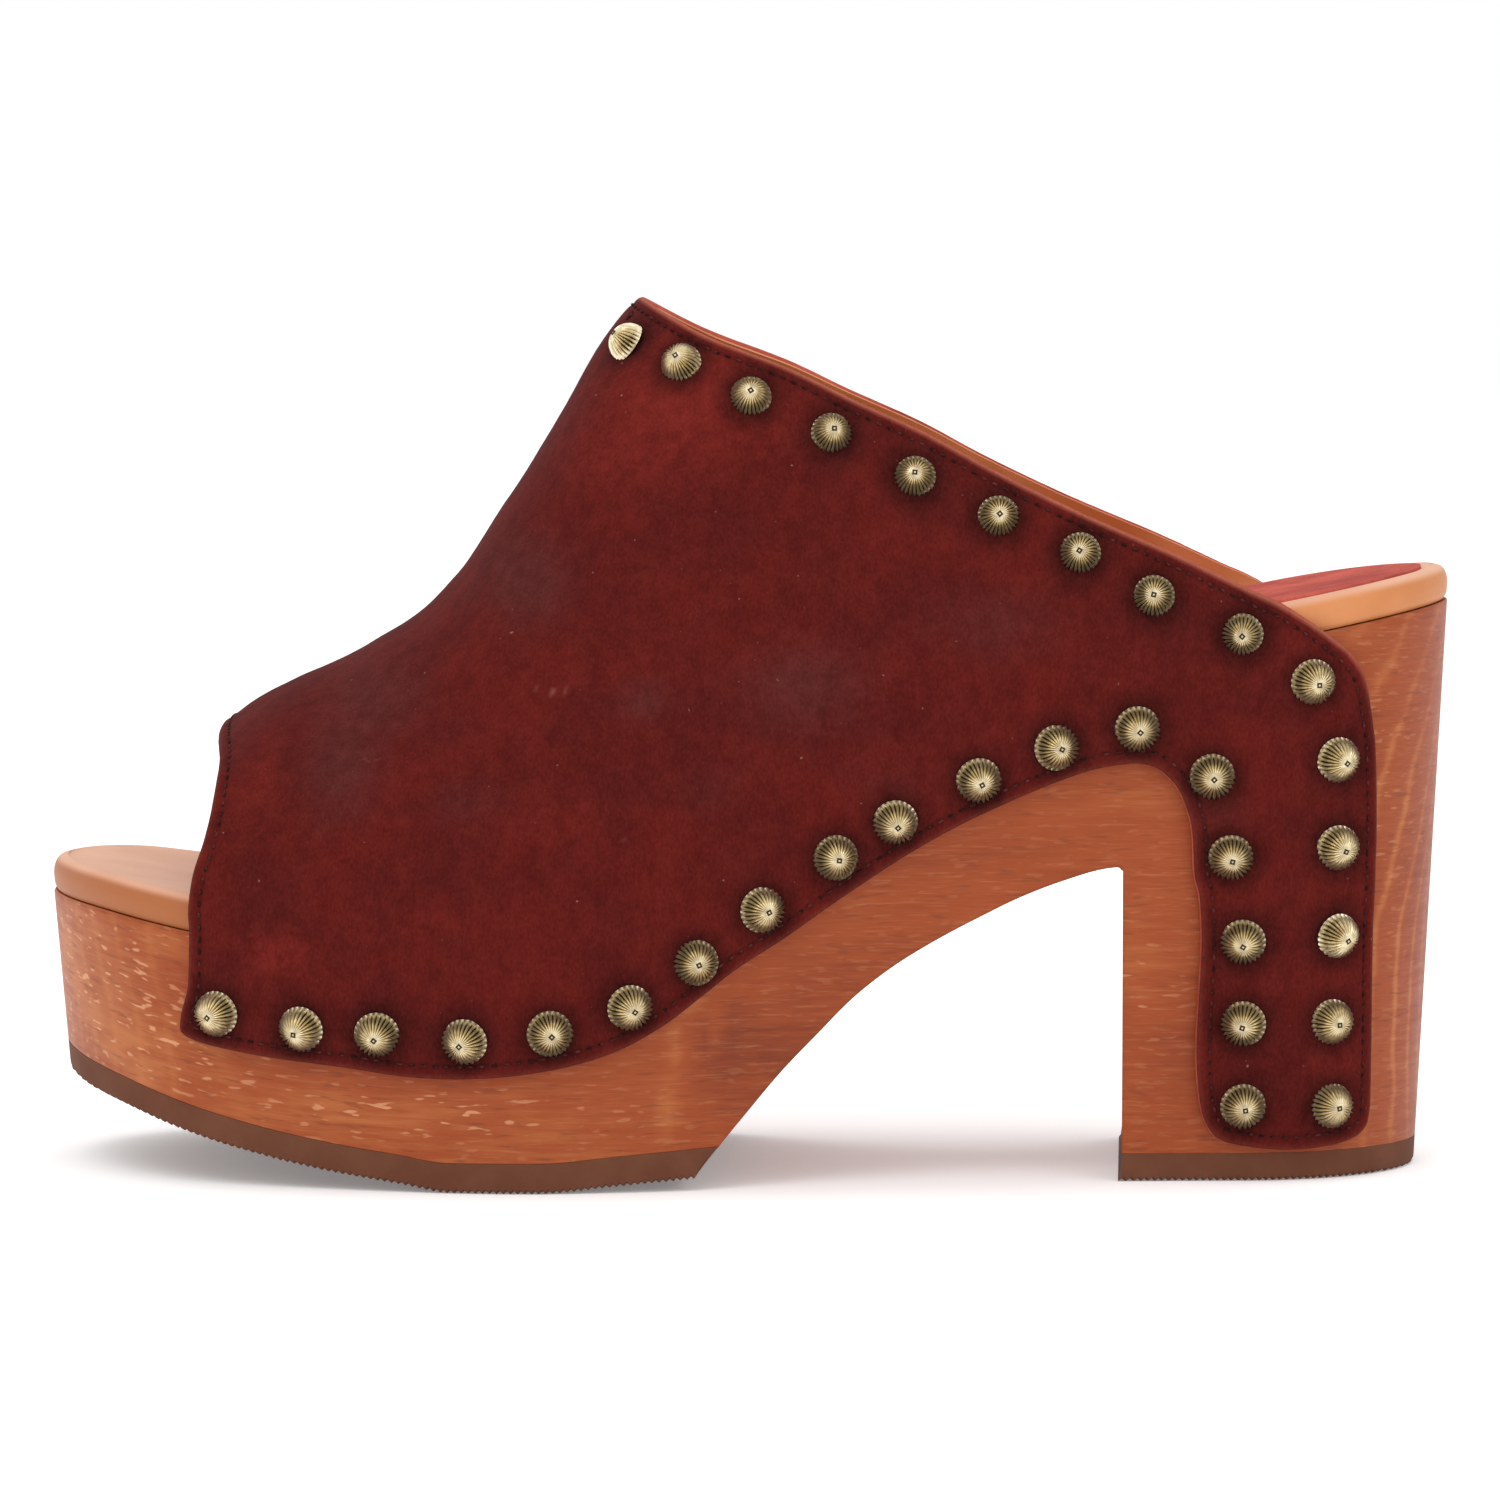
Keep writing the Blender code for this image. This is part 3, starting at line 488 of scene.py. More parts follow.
@dataclass
class Outline:
    """The upper's cut edge, once round from the collar's peak down the outer side."""

    skin: Skin
    spacing: float = 0.0008
    map_step: float = 0.0006
    solve_steps: int = 24
    settle_steps: int = 12
    curve_steps: int = 10
    back_reach: tuple[float, float] = (-0.04, 0.11)
    front_reach: tuple[float, float] = (-0.105, 0.0)
    rise_before: float = 0.004
    rise_after: float = 0.006
    points: list[EdgePoint] = field(default_factory=list)

    def __post_init__(self) -> None:
        """Trace the edge and space its points evenly."""
        front, back = self._by_height(FRONT_EDGE), self._by_height(BACK_EDGE)
        path: list[Vector] = []
        for side in (Side.OUTER, Side.INNER):
            top = self.skin.ridge_girth
            half = self._follow(back, top, self._foot(BACK_EDGE[-1], side), self.back_reach)
            half += self._lower(side)[1:-1]
            half += self._follow(front, self._foot(FRONT_EDGE[0], side), top, self.front_reach)
            path += half if side is Side.OUTER else list(reversed(half))[1:-1]
        self.points = self._even(path)

    def _by_height(self, marks: Sequence[Mark]) -> Curve:
        """X of an edge as a curve of its height."""
        last = self.skin.last
        return Curve({self.skin.mark_height(m): last.length * (m.at - 0.5) for m in marks})

    def _foot(self, mark: Mark, side: Side) -> float:
        """Girth of a mark low on one side."""
        return self._locate(self._seen(mark), side).y

    def _seen(self, mark: Mark) -> Vector:
        """X and height of a mark in the side view."""
        return Vector((self.skin.last.length * (mark.at - 0.5), self.skin.mark_height(mark)))

    def _follow(self, edge: Curve, start: float, end: float, reach: tuple[float, float]) -> list[Vector]:
        """Map places of an edge between two girths.

        Args:
            edge: the edge's X for each height.
            start: the first girth.
            end: the last girth.
            reach: lowest and highest X to look at.

        Returns:
            The places.
        """
        count = max(2, round(abs(end - start) / self.map_step))
        return [self._solve(edge, start + (end - start) * i / count, reach) for i in range(count + 1)]

    def _solve(self, edge: Curve, girth: float, reach: tuple[float, float]) -> Vector:
        """Where an edge crosses a line of even girth.

        Args:
            edge: the edge's X for each height.
            girth: the girth.
            reach: lowest and highest X to look at.

        Returns:
            The place on the map.
        """
        low, high = reach
        for _ in range(self.solve_steps):
            middle = (low + high) / 2
            x, z = self.skin.side_view(self.skin.face(middle, girth))
            if x < edge(z):
                low = middle
            else:
                high = middle
        return Vector(((low + high) / 2, girth))

    def _locate(self, seen: Vector, side: Side) -> Vector:
        """Map place of a point against the sole, from its X and height in the side view.

        Args:
            seen: X and height in the side view.
            side: outer or inner.

        Returns:
            The place on the map.
        """
        x, height = seen
        place = Vector((0.0, 0.0))
        for _ in range(self.settle_steps):
            girth = self.skin.girth_at(x / self.skin.last.length + 0.5, height, side)
            place = Vector((x, girth))
            shown_x, shown_z = self.skin.side_view(self.skin.face(x, girth))
            x += seen.x - shown_x
            height += seen.y - shown_z
        return place

    def _lower(self, side: Side) -> list[Vector]:
        """Map places of the edge under the seat, from the heel to the toe.

        Args:
            side: outer or inner.

        Returns:
            The places.
        """
        seen = [self._seen(mark) for mark in LOWER_EDGE]
        before = [seen[0] + Vector((0.0, self.rise_before)), *seen[:-1]]
        after = [*seen[1:], seen[-1] + Vector((0.0, self.rise_after))]
        path = []
        for i, (a, b) in enumerate(zip(seen, seen[1:])):
            size = (b - a).length
            leave = (b - before[i]).normalized() * size
            arrive = (after[i + 1] - a).normalized() * size
            for step in range(self.curve_steps):
                t = step / self.curve_steps
                point = a * (1 + 2 * t) * (1 - t) ** 2 + leave * t * (1 - t) ** 2
                point += b * t * t * (3 - 2 * t) + arrive * t * t * (t - 1)
                path.append(self._locate(point, side))
        return [*path, self._locate(seen[-1], side)]

    def _even(self, path: list[Vector]) -> list[EdgePoint]:
        """Space a closed path evenly and add the direction inwards.

        Args:
            path: places on the map.

        Returns:
            The edge's points.
        """
        places = [self.skin.face(p.x, p.y) for p in path]
        run = [0.0]
        for a, b in zip(places, [*places[1:], places[0]]):
            run.append(run[-1] + (b - a).length)
        count = round(run[-1] / self.spacing)
        flats, row = [], 0
        for i in range(count):
            goal = run[-1] * i / count
            while run[row + 1] < goal:
                row += 1
            t = (goal - run[row]) / (run[row + 1] - run[row])
            flats.append(path[row].lerp(path[(row + 1) % len(path)], t))
        points = [self.skin.face(p.x, p.y) for p in flats]
        made = []
        for i, (flat, place) in enumerate(zip(flats, points)):
            along = (points[(i + 1) % count] - points[i - 1]).normalized()
            inward = along.cross(self.skin.outward(flat.x, flat.y))
            made.append(EdgePoint(flat, place, self._to_map(flat, inward)))
        return made

    def _to_map(self, flat: Vector, direction: Vector) -> Vector:
        """The step on the map that goes one unit along a direction in the surface."""
        h = self.skin.step
        along = (self.skin.face(flat.x + h, flat.y) - self.skin.face(flat.x - h, flat.y)) / (2 * h)
        up = (self.skin.face(flat.x, flat.y + h) - self.skin.face(flat.x, flat.y - h)) / (2 * h)
        aa, ab, bb = along.dot(along), along.dot(up), up.dot(up)
        p, q = along.dot(direction), up.dot(direction)
        size = aa * bb - ab * ab
        return Vector(((p * bb - q * ab) / size, (q * aa - p * ab) / size))


class Wire:
    """A value in a material's nodes, usable in plain arithmetic."""

    def __init__(self, graph: "Graph", socket: bpy.types.NodeSocket) -> None:
        """Hold an output socket of a graph."""
        self.graph = graph
        self.socket = socket

    def _math(self, operation: str, *values: "Value") -> "Wire":
        """One Math node over some values."""
        return self.graph.node("ShaderNodeMath", {"operation": operation}, dict(enumerate(values)))

    def __add__(self, other: "Value") -> "Wire":
        """Sum."""
        return self._math("ADD", self, other)

    __radd__ = __add__

    def __mul__(self, other: "Value") -> "Wire":
        """Product."""
        return self._math("MULTIPLY", self, other)

    __rmul__ = __mul__

    def __sub__(self, other: "Value") -> "Wire":
        """Difference."""
        return self._math("SUBTRACT", self, other)

    def __rsub__(self, other: "Value") -> "Wire":
        """Difference from a value on the left."""
        return self._math("SUBTRACT", other, self)

    def __pow__(self, other: "Value") -> "Wire":
        """Power."""
        return self._math("POWER", self, other)

    def sine(self) -> "Wire":
        """Sine."""
        return self._math("SINE", self)

    def ramp(self, low: float, high: float) -> "Wire":
        """A soft step from 0 at one value to 1 at another."""
        values = {0: self, 1: low, 2: high, 3: 0.0, 4: 1.0}
        return self.graph.node("ShaderNodeMapRange", {"interpolation_type": "SMOOTHSTEP"}, values)


Value = float | Wire


class Graph:
    """One material and its nodes."""

    def __init__(self, name: str, roughness: float, **constants: float) -> None:
        """Make the material.

        Args:
            name: the material's name.
            roughness: how matt it is.
            constants: other values of the shader, by socket name with _ for a space.
        """
        self.material = bpy.data.materials.new(name)
        self.material.use_nodes = True
        self.tree = self.material.node_tree
        self.shader = self.tree.nodes["Principled BSDF"]
        self.shader.inputs["Roughness"].default_value = roughness
        for key, value in constants.items():
            self.shader.inputs[key.replace("_", " ")].default_value = value

    def node(self, kind: str, settings: dict[str, str], values: dict, output: int = 0) -> Wire:
        """Add a node.

        Args:
            kind: the node's type.
            settings: its options.
            values: a number, colour or wire for its sockets, by index or name.
            output: the output to use.

        Returns:
            The output as a wire.
        """
        made = self.tree.nodes.new(kind)
        for key, value in settings.items():
            setattr(made, key, value)
        for key, value in values.items():
            if isinstance(value, Wire):
                self.tree.links.new(value.socket, made.inputs[key])
            else:
                made.inputs[key].default_value = value
        return Wire(self, made.outputs[output])

    def vector(self, operation: str, values: dict, output: int = 0) -> Wire:
        """One Vector Math node over some values."""
        return self.node("ShaderNodeVectorMath", {"operation": operation}, values, output)

    def place(self, scale: Place = (1.0, 1.0, 1.0), bend: str = "") -> Wire:
        """Object coordinates, raised by a painted layer where one is named, and stretched."""
        plain = self.node("ShaderNodeTexCoord", {}, {}, output=3)
        if bend:
            raised = self.vector("SCALE", {0: (0.0, 0.0, 1.0), "Scale": self.layer(bend)})
            plain = self.vector("ADD", {0: plain, 1: raised})
        return self.vector("MULTIPLY", {0: plain, 1: scale})

    def noise(
        self,
        scale: float,
        detail: float = 3.0,
        stretch: Place = (1.0, 1.0, 1.0),
        rough: float = 0.5,
        bend: str = "",
    ) -> Wire:
        """Cloudy noise from 0 to 1.

        Args:
            scale: number of its features to a metre.
            detail: how many finer layers it has.
            stretch: scale along each axis.
            rough: weight of the finer layers.
            bend: painted layer that raises it.

        Returns:
            The noise as a wire.
        """
        values = {"Vector": self.place(stretch, bend), "Scale": scale, "Detail": detail, "Roughness": rough}
        return self.node("ShaderNodeTexNoise", {}, values)

    def layer(self, name: str) -> Wire:
        """A value painted on the mesh."""
        return self.node("ShaderNodeAttribute", {"attribute_name": name}, {}, output=2)

    def mix(self, share: Value, first: "Colour | Wire", second: "Colour | Wire") -> Wire:
        """A blend of two colours."""
        a, b = (c if isinstance(c, Wire) else (*c, 1.0) for c in (first, second))
        return self.node("ShaderNodeMix", {"data_type": "RGBA"}, {0: share, 6: a, 7: b}, output=2)

    def link(self, name: str, wire: Wire) -> None:
        """Feed a socket of the shader."""
        self.tree.links.new(wire.socket, self.shader.inputs[name])

    def bump(self, height: Wire, depth: float, strength: float = 1.0) -> None:
        """Feed the shader's normal with a relief of that depth in metres."""
        values = {"Height": height, "Distance": depth, "Strength": strength}
        self.link("Normal", self.node("ShaderNodeBump", {}, values))


@dataclass(frozen=True)
class Suede:
    """Brushed leather with a short nap, mottled by handling."""

    name: str
    colour: Colour
    dark: Colour
    lint: Colour = (0.45, 0.30, 0.26)
    hollow: Colour = (0.0, 0.0, 0.0)
    raised: Colour = (0.75, 0.12, 0.09)

    def material(self) -> bpy.types.Material:
        """Make the material.

        Returns:
            The material.
        """
        graph = Graph(self.name, 0.95, Sheen_Weight=0.02, Sheen_Roughness=0.4, Specular_IOR_Level=0.04)
        broad = graph.noise(55.0, 4.0, rough=0.6)
        fine = graph.noise(420.0, 4.0, rough=0.65)
        nap = graph.noise(2600.0, 2.0, stretch=(1.0, 1.0, 0.55))
        brushed = graph.noise(300.0, 3.0, stretch=(1.0, 1.0, 0.35), rough=0.6)
        cloud = broad * 0.7 + graph.noise(170.0, 3.0, rough=0.6) * 0.3
        colour = self.worn(graph, graph.mix(cloud.ramp(0.36, 0.66), self.colour, self.dark), fine)
        colour = graph.mix(graph.noise(900.0, 1.0).ramp(0.78, 0.84) * 0.35, colour, self.lint)
        grain = (fine * 0.40 + nap * 0.50 + brushed * 0.25).ramp(0.38, 0.80)
        low, high = graph.mix(0.24, colour, self.hollow), graph.mix(0.03, colour, self.raised)
        graph.link("Base Color", graph.mix(grain, low, high))
        graph.bump(nap * 0.6 + fine * 0.8, 0.00016, 0.7)
        return graph.material

    def worn(self, graph: Graph, colour: Wire, fine: Wire) -> Wire:
        """The colour as it is, for suede without painted patches."""
        return colour


@dataclass(frozen=True)
class WornShadedSuede(Suede):
    """Suede with patches, painted shade and a raw edge where its mesh is painted."""

    warm: Colour = (0.150, 0.0140, 0.0105)
    cool: Colour = (0.078, 0.0170, 0.0155)
    rubbed: Colour = (0.34, 0.16, 0.13)
    shaded: Colour = (0.018, 0.004, 0.004)
    raw: Colour = (0.52, 0.150, 0.092)

    def worn(self, graph: Graph, colour: Wire, fine: Wire) -> Wire:
        """Lay the painted patches, the painted shade and the raw edge over the colour.

        Args:
            graph: the material's nodes.
            colour: the plain mottled colour.
            fine: fine noise, which breaks the patches up.

        Returns:
            The colour with its patches, painted shade and raw edge.
        """
        for name, tint in (("warm", self.warm), ("cool", self.cool)):
            colour = graph.mix((graph.layer(name) * (0.5 + fine)).ramp(0.1, 1.1), colour, tint)
        rubbed = (graph.layer("pale") * (0.4 + 1.2 * fine)).ramp(0.25, 1.2)
        colour = graph.mix(rubbed * 0.5, colour, self.rubbed)
        # painted shade round the studs and along the stitch groove
        colour = graph.mix(graph.layer("shade") * 0.92, colour, self.shaded)
        return graph.mix(graph.layer("raw"), colour, self.raw)


@dataclass(frozen=True)
class SmoothLeather:
    """Smooth dyed leather with fine pores."""

    name: str
    colour: Colour
    worn: Colour
    roughness: float = 0.42

    def material(self) -> bpy.types.Material:
        """Make the material.

        Returns:
            The material.
        """
        graph = Graph(self.name, self.roughness, Coat_Weight=0.12, Coat_Roughness=0.35)
        cloud = graph.noise(45.0, 3.0)
        pores = graph.noise(2200.0, 2.0)
        graph.link("Base Color", graph.mix(cloud.ramp(0.3, 0.75), self.colour, self.worn))
        graph.link("Roughness", self.roughness + 0.12 * (pores - 0.5))
        graph.bump(pores + graph.noise(500.0, 2.0) * 0.6, 0.00005, 0.5)
        return graph.material


@dataclass(frozen=True)
class FootbedLeather:
    """Tan leather that pales over its flat top, with painted shade on its rim towards the toe."""

    name: str = "tan_footbed_leather"
    rim: Colour = (0.50, 0.180, 0.056)
    rim_cloud: Colour = (0.60, 0.235, 0.088)
    shaded_toe_rim: Colour = (0.36, 0.115, 0.036)
    top: Colour = (0.66, 0.35, 0.22)
    top_cloud: Colour = (0.60, 0.29, 0.17)

    def material(self) -> bpy.types.Material:
        """Make the material.

        Returns:
            The material.
        """
        graph = Graph(self.name, 0.5, Coat_Weight=0.05, Coat_Roughness=0.4, Specular_IOR_Level=0.25)
        cloud = graph.noise(60.0, 4.0)
        pores = graph.noise(1800.0, 2.0)
        rim = graph.mix(cloud.ramp(0.3, 0.7), self.rim, self.rim_cloud)
        # painted shade on the rim towards the toe
        rim = graph.mix(graph.layer("toe"), rim, self.shaded_toe_rim)
        top = graph.mix(cloud.ramp(0.3, 0.7), self.top, self.top_cloud)
        graph.link("Base Color", graph.mix(graph.layer("top"), rim, top))
        graph.bump(pores + graph.noise(260.0, 3.0) * 1.2, 0.00007, 0.6)
        return graph.material


@dataclass(frozen=True)
class Alder:
    """Red-brown alder with fine grain along the sole, growth rings and pale flecks."""

    name: str = "varnished_alder"
    pale: Colour = (0.42, 0.128, 0.035)
    plain: Colour = (0.285, 0.052, 0.0100)
    dark: Colour = (0.155, 0.023, 0.0060)
    fleck: Colour = (0.66, 0.33, 0.17)
    vessel: Colour = (0.17, 0.034, 0.012)
    # lighter colour along the fibres: a painted sheen
    fibre_sheen: Colour = (0.62, 0.27, 0.12)
    heart: Place = (0.0, 0.085, 0.030)
    ring: float = 0.0052

    def material(self) -> bpy.types.Material:
        """Make the material.

        Returns:
            The material.
        """
        graph = Graph(self.name, 0.5, Coat_Weight=0.06, Coat_Roughness=0.35, Specular_IOR_Level=0.2)
        warp = graph.noise(16.0, 3.0, stretch=(0.55, 1.0, 1.0))
        radius = graph.vector("DISTANCE", {0: graph.place((0.16, 1.0, 1.0)), 1: self.heart}, output=1)
        wave = ((radius * (math.tau / self.ring)) + warp * 26.0).sine() * 0.5 + 0.5
        rings = 1.0 - wave ** 5.0
        streaks = graph.noise(900.0, 3.0, stretch=(0.075, 0.12, 1.0), bend="bend")
        fibre_sheen = graph.noise(2400.0, 2.0, stretch=(0.06, 0.08, 1.0), bend="bend")
        blotch = graph.noise(70.0, 4.0, stretch=(0.5, 0.7, 1.0), rough=0.65)
        # the painted layer adds painted shade and light to the wood's own tone
        tone_and_shade = streaks * 0.50 + blotch * 0.45 + rings * graph.layer("ring") + graph.layer("tone_and_shade") * 0.55
        colour = graph.mix(tone_and_shade.ramp(0.05, 0.60), self.pale, self.plain)
        colour = graph.mix(tone_and_shade.ramp(0.55, 1.10), colour, self.dark)
        fleck = graph.noise(1150.0, 1.0, stretch=(0.24, 0.26, 1.0), bend="bend").ramp(0.62, 0.70)
        colour = graph.mix(fleck * graph.layer("fleck") * 0.65, colour, self.fleck)
        vessel = graph.noise(1500.0, 1.0, stretch=(0.14, 0.16, 1.0), bend="bend").ramp(0.60, 0.74)
        colour = graph.mix(vessel * 0.50, colour, self.vessel)
        # painted sheen on the fibres, where their noise strays from its middle
        colour = graph.mix((fibre_sheen - 0.5) * (fibre_sheen - 0.5) * 2.4, colour, self.fibre_sheen)
        graph.link("Base Color", colour)
        graph.link("Roughness", 0.40 + 0.16 * streaks)
        graph.bump(fibre_sheen * 0.6 + streaks - vessel * 0.6, 0.00006, 0.55)
        return graph.material


@dataclass(frozen=True)
class Rubber:
    """Plain brown rubber."""

    name: str = "brown_rubber"
    colour: Colour = (0.118, 0.040, 0.020)
    grime: Colour = (0.142, 0.052, 0.028)

    def material(self) -> bpy.types.Material:
        """Make the material.

        Returns:
            The material.
        """
        graph = Graph(self.name, 0.75, Specular_IOR_Level=0.15)
        grime = graph.noise(130.0, 4.0)
        graph.link("Base Color", graph.mix(grime.ramp(0.3, 0.75), self.colour, self.grime))
        graph.bump(graph.noise(1500.0, 3.0), 0.00005, 0.6)
        return graph.material


@dataclass(frozen=True)
class Brass:
    """Aged brass: dark in the hollows, bright on the crests."""

    name: str = "antique_brass"
    bright: Colour = (0.90, 0.81, 0.60)
    aged: Colour = (0.68, 0.58, 0.39)
    hollow: Colour = (0.055, 0.037, 0.020)
    grazing: Colour = (0.52, 0.44, 0.30)

    def material(self) -> bpy.types.Material:
        """Make the material.

        Returns:
            The material.
        """
        graph = Graph(self.name, 0.3, Metallic=1.0)
        graph.shader.inputs["Specular Tint"].default_value = (*self.grazing, 1.0)
        crest = graph.layer("crest")
        patina = graph.noise(900.0, 3.0)
        metal = graph.mix(patina.ramp(0.30, 0.66), self.bright, self.aged)
        graph.link("Base Color", graph.mix(crest.ramp(0.03, 0.58), self.hollow, metal))
        graph.link("Roughness", 0.48 - 0.24 * crest + 0.10 * patina)
        graph.bump(patina, 0.00004, 0.4)
        return graph.material


@dataclass(frozen=True)
class Thread:
    """Dull waxed thread."""

    name: str = "burgundy_thread"
    colour: Colour = (0.018, 0.004, 0.004)
    # lighter in random patches: painted glints on the thread
    worn: Colour = (0.10, 0.022, 0.020)

    def material(self) -> bpy.types.Material:
        """Make the material.

        Returns:
            The material.
        """
        graph = Graph(self.name, 0.9, Specular_IOR_Level=0.1)
        graph.link("Base Color", graph.mix(graph.noise(900.0).ramp(0.4, 0.7), self.colour, self.worn))
        return graph.material


def add_piece(name: str, mesh: bpy.types.Mesh, nodes: Sequence[str] = ()) -> bpy.types.Object:
    """Put a finished mesh in the scene as a piece of the sandal.

    Args:
        name: the piece's name.
        mesh: its mesh, in the part's frame.
        nodes: the CAD nodes that it stands for.

    Returns:
        The piece.
    """
    piece = bpy.data.objects.new(name, mesh)
    bpy.context.scene.collection.objects.link(piece)
    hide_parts(*nodes)
    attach(piece, BODY)
    LOG.info("%s: %d faces", name, len(mesh.polygons))
    return piece


def to_mesh(shape: bmesh.types.BMesh, name: str, sharp: float = 40.0) -> bpy.types.Mesh:
    """Close a shape's doubles, turn its faces outwards and write it, smooth but for sharp edges.

    Args:
        shape: the shape, which is freed.
        name: the mesh's name.
        sharp: least angle of a sharp edge, in degrees.

    Returns:
        The mesh.
    """
    bmesh.ops.remove_doubles(shape, verts=shape.verts, dist=MERGE)
    bmesh.ops.dissolve_degenerate(shape, edges=shape.edges, dist=THIN)
    bmesh.ops.delete(shape, geom=[vert for vert in shape.verts if not vert.link_faces], context="VERTS")
    bmesh.ops.recalc_face_normals(shape, faces=shape.faces)
    mesh = bpy.data.meshes.new(name)
    shape.to_mesh(mesh)
    shape.free()
    mesh.shade_smooth()
    mesh.set_sharp_from_angle(angle=math.radians(sharp))
    return mesh


def paint(mesh: bpy.types.Mesh, name: str, value: Callable[[Vector], float]) -> None:
    """Keep a value from 0 to 1 for each vertex, worked out from its place."""
    values = [value(vertex.co) for vertex in mesh.vertices]
    mesh.attributes.new(name, "FLOAT", "POINT").data.foreach_set("value", values)


def underside(columns: Columns) -> list[Vector]:
    """The line from the first column's top down and along the bottom to the last one's top."""
    line = list(reversed(columns[0]))
    for before, column in zip(columns, columns[1:]):
        extra = max(0, len(column) - len(before))
        line += reversed(column[: extra + 1])
    return line + columns[-1][1:]


def ruled_body(
    name: str,
    outer: Columns,
    inner: Columns,
    across: int,
    top_shape: Callable[[Vector, float], Vector] | None = None,
) -> bpy.types.Mesh:
    """A closed body between two sides.

    Args:
        name: the mesh's name.
        outer: the outer side's points in columns, each from bottom to top.
        inner: the inner side's points in the same pattern.
        across: number of steps from side to side.
        top_shape: moves a point of the top, given its share of the way across.

    Returns:
        The mesh.
    """
    shape = bmesh.new()
    sides = [[[shape.verts.new(p) for p in column] for column in side] for side in (outer, inner)]
    for side in sides:
        for before, after in zip(side, side[1:]):
            count = min(len(before), len(after))
            pairs = list(zip(before[-count:], after[-count:]))
            for (a, b), (d, c) in zip(pairs, pairs[1:]):
                shape.faces.new((a, b, c, d))

    def rung(start: Vector, end: Vector, bend: Callable[[Vector, float], Vector] | None) -> list:
        """Vertices straight across, or bent by a shape."""
        made = []
        for step in range(across + 1):
            point = start.lerp(end, step / across)
            made.append(shape.verts.new(bend(point, step / across) if bend else point))
        return made

    tops = [[column[-1] for column in columns] for columns in (outer, inner)]
    for starts, ends, bend in ((underside(outer), underside(inner), None), (*tops, top_shape)):
        rungs = [rung(a, b, bend) for a, b in zip(starts, ends)]
        for before, after in zip(rungs, rungs[1:]):
            for i in range(across):
                shape.faces.new((before[i], before[i + 1], after[i + 1], after[i]))
    return to_mesh(shape, name)


# Where a rounded edge has its points, in shares of its radius
ROUND_STEPS = (0.0, 0.12, 0.42, 1.0)


def fillet(near: float, radius: float) -> float:
    """How far a rounded edge draws a face in at a distance from the edge."""
    if near >= radius:
        return 0.0
    return radius - math.sqrt(max(0.0, radius**2 - (radius - max(0.0, near)) ** 2))


def eased(steps: int, span: float) -> list[float]:
    """Places from 0 to a span, crowded towards 0 as on a round end."""
    return [span * (1.0 - math.cos(math.pi / 2 * i / steps)) for i in range(steps + 1)]


def even(start: float, end: float, count: int) -> list[float]:
    """Places in a number of even steps from one value to another, both left out."""
    return [start + (end - start) * i / count for i in range(1, count)]


def between(start: float, end: float, spacing: float) -> list[float]:
    """Places about a spacing apart from one value to another, both left out."""
    return even(start, end, max(1, round(abs(end - start) / spacing)))


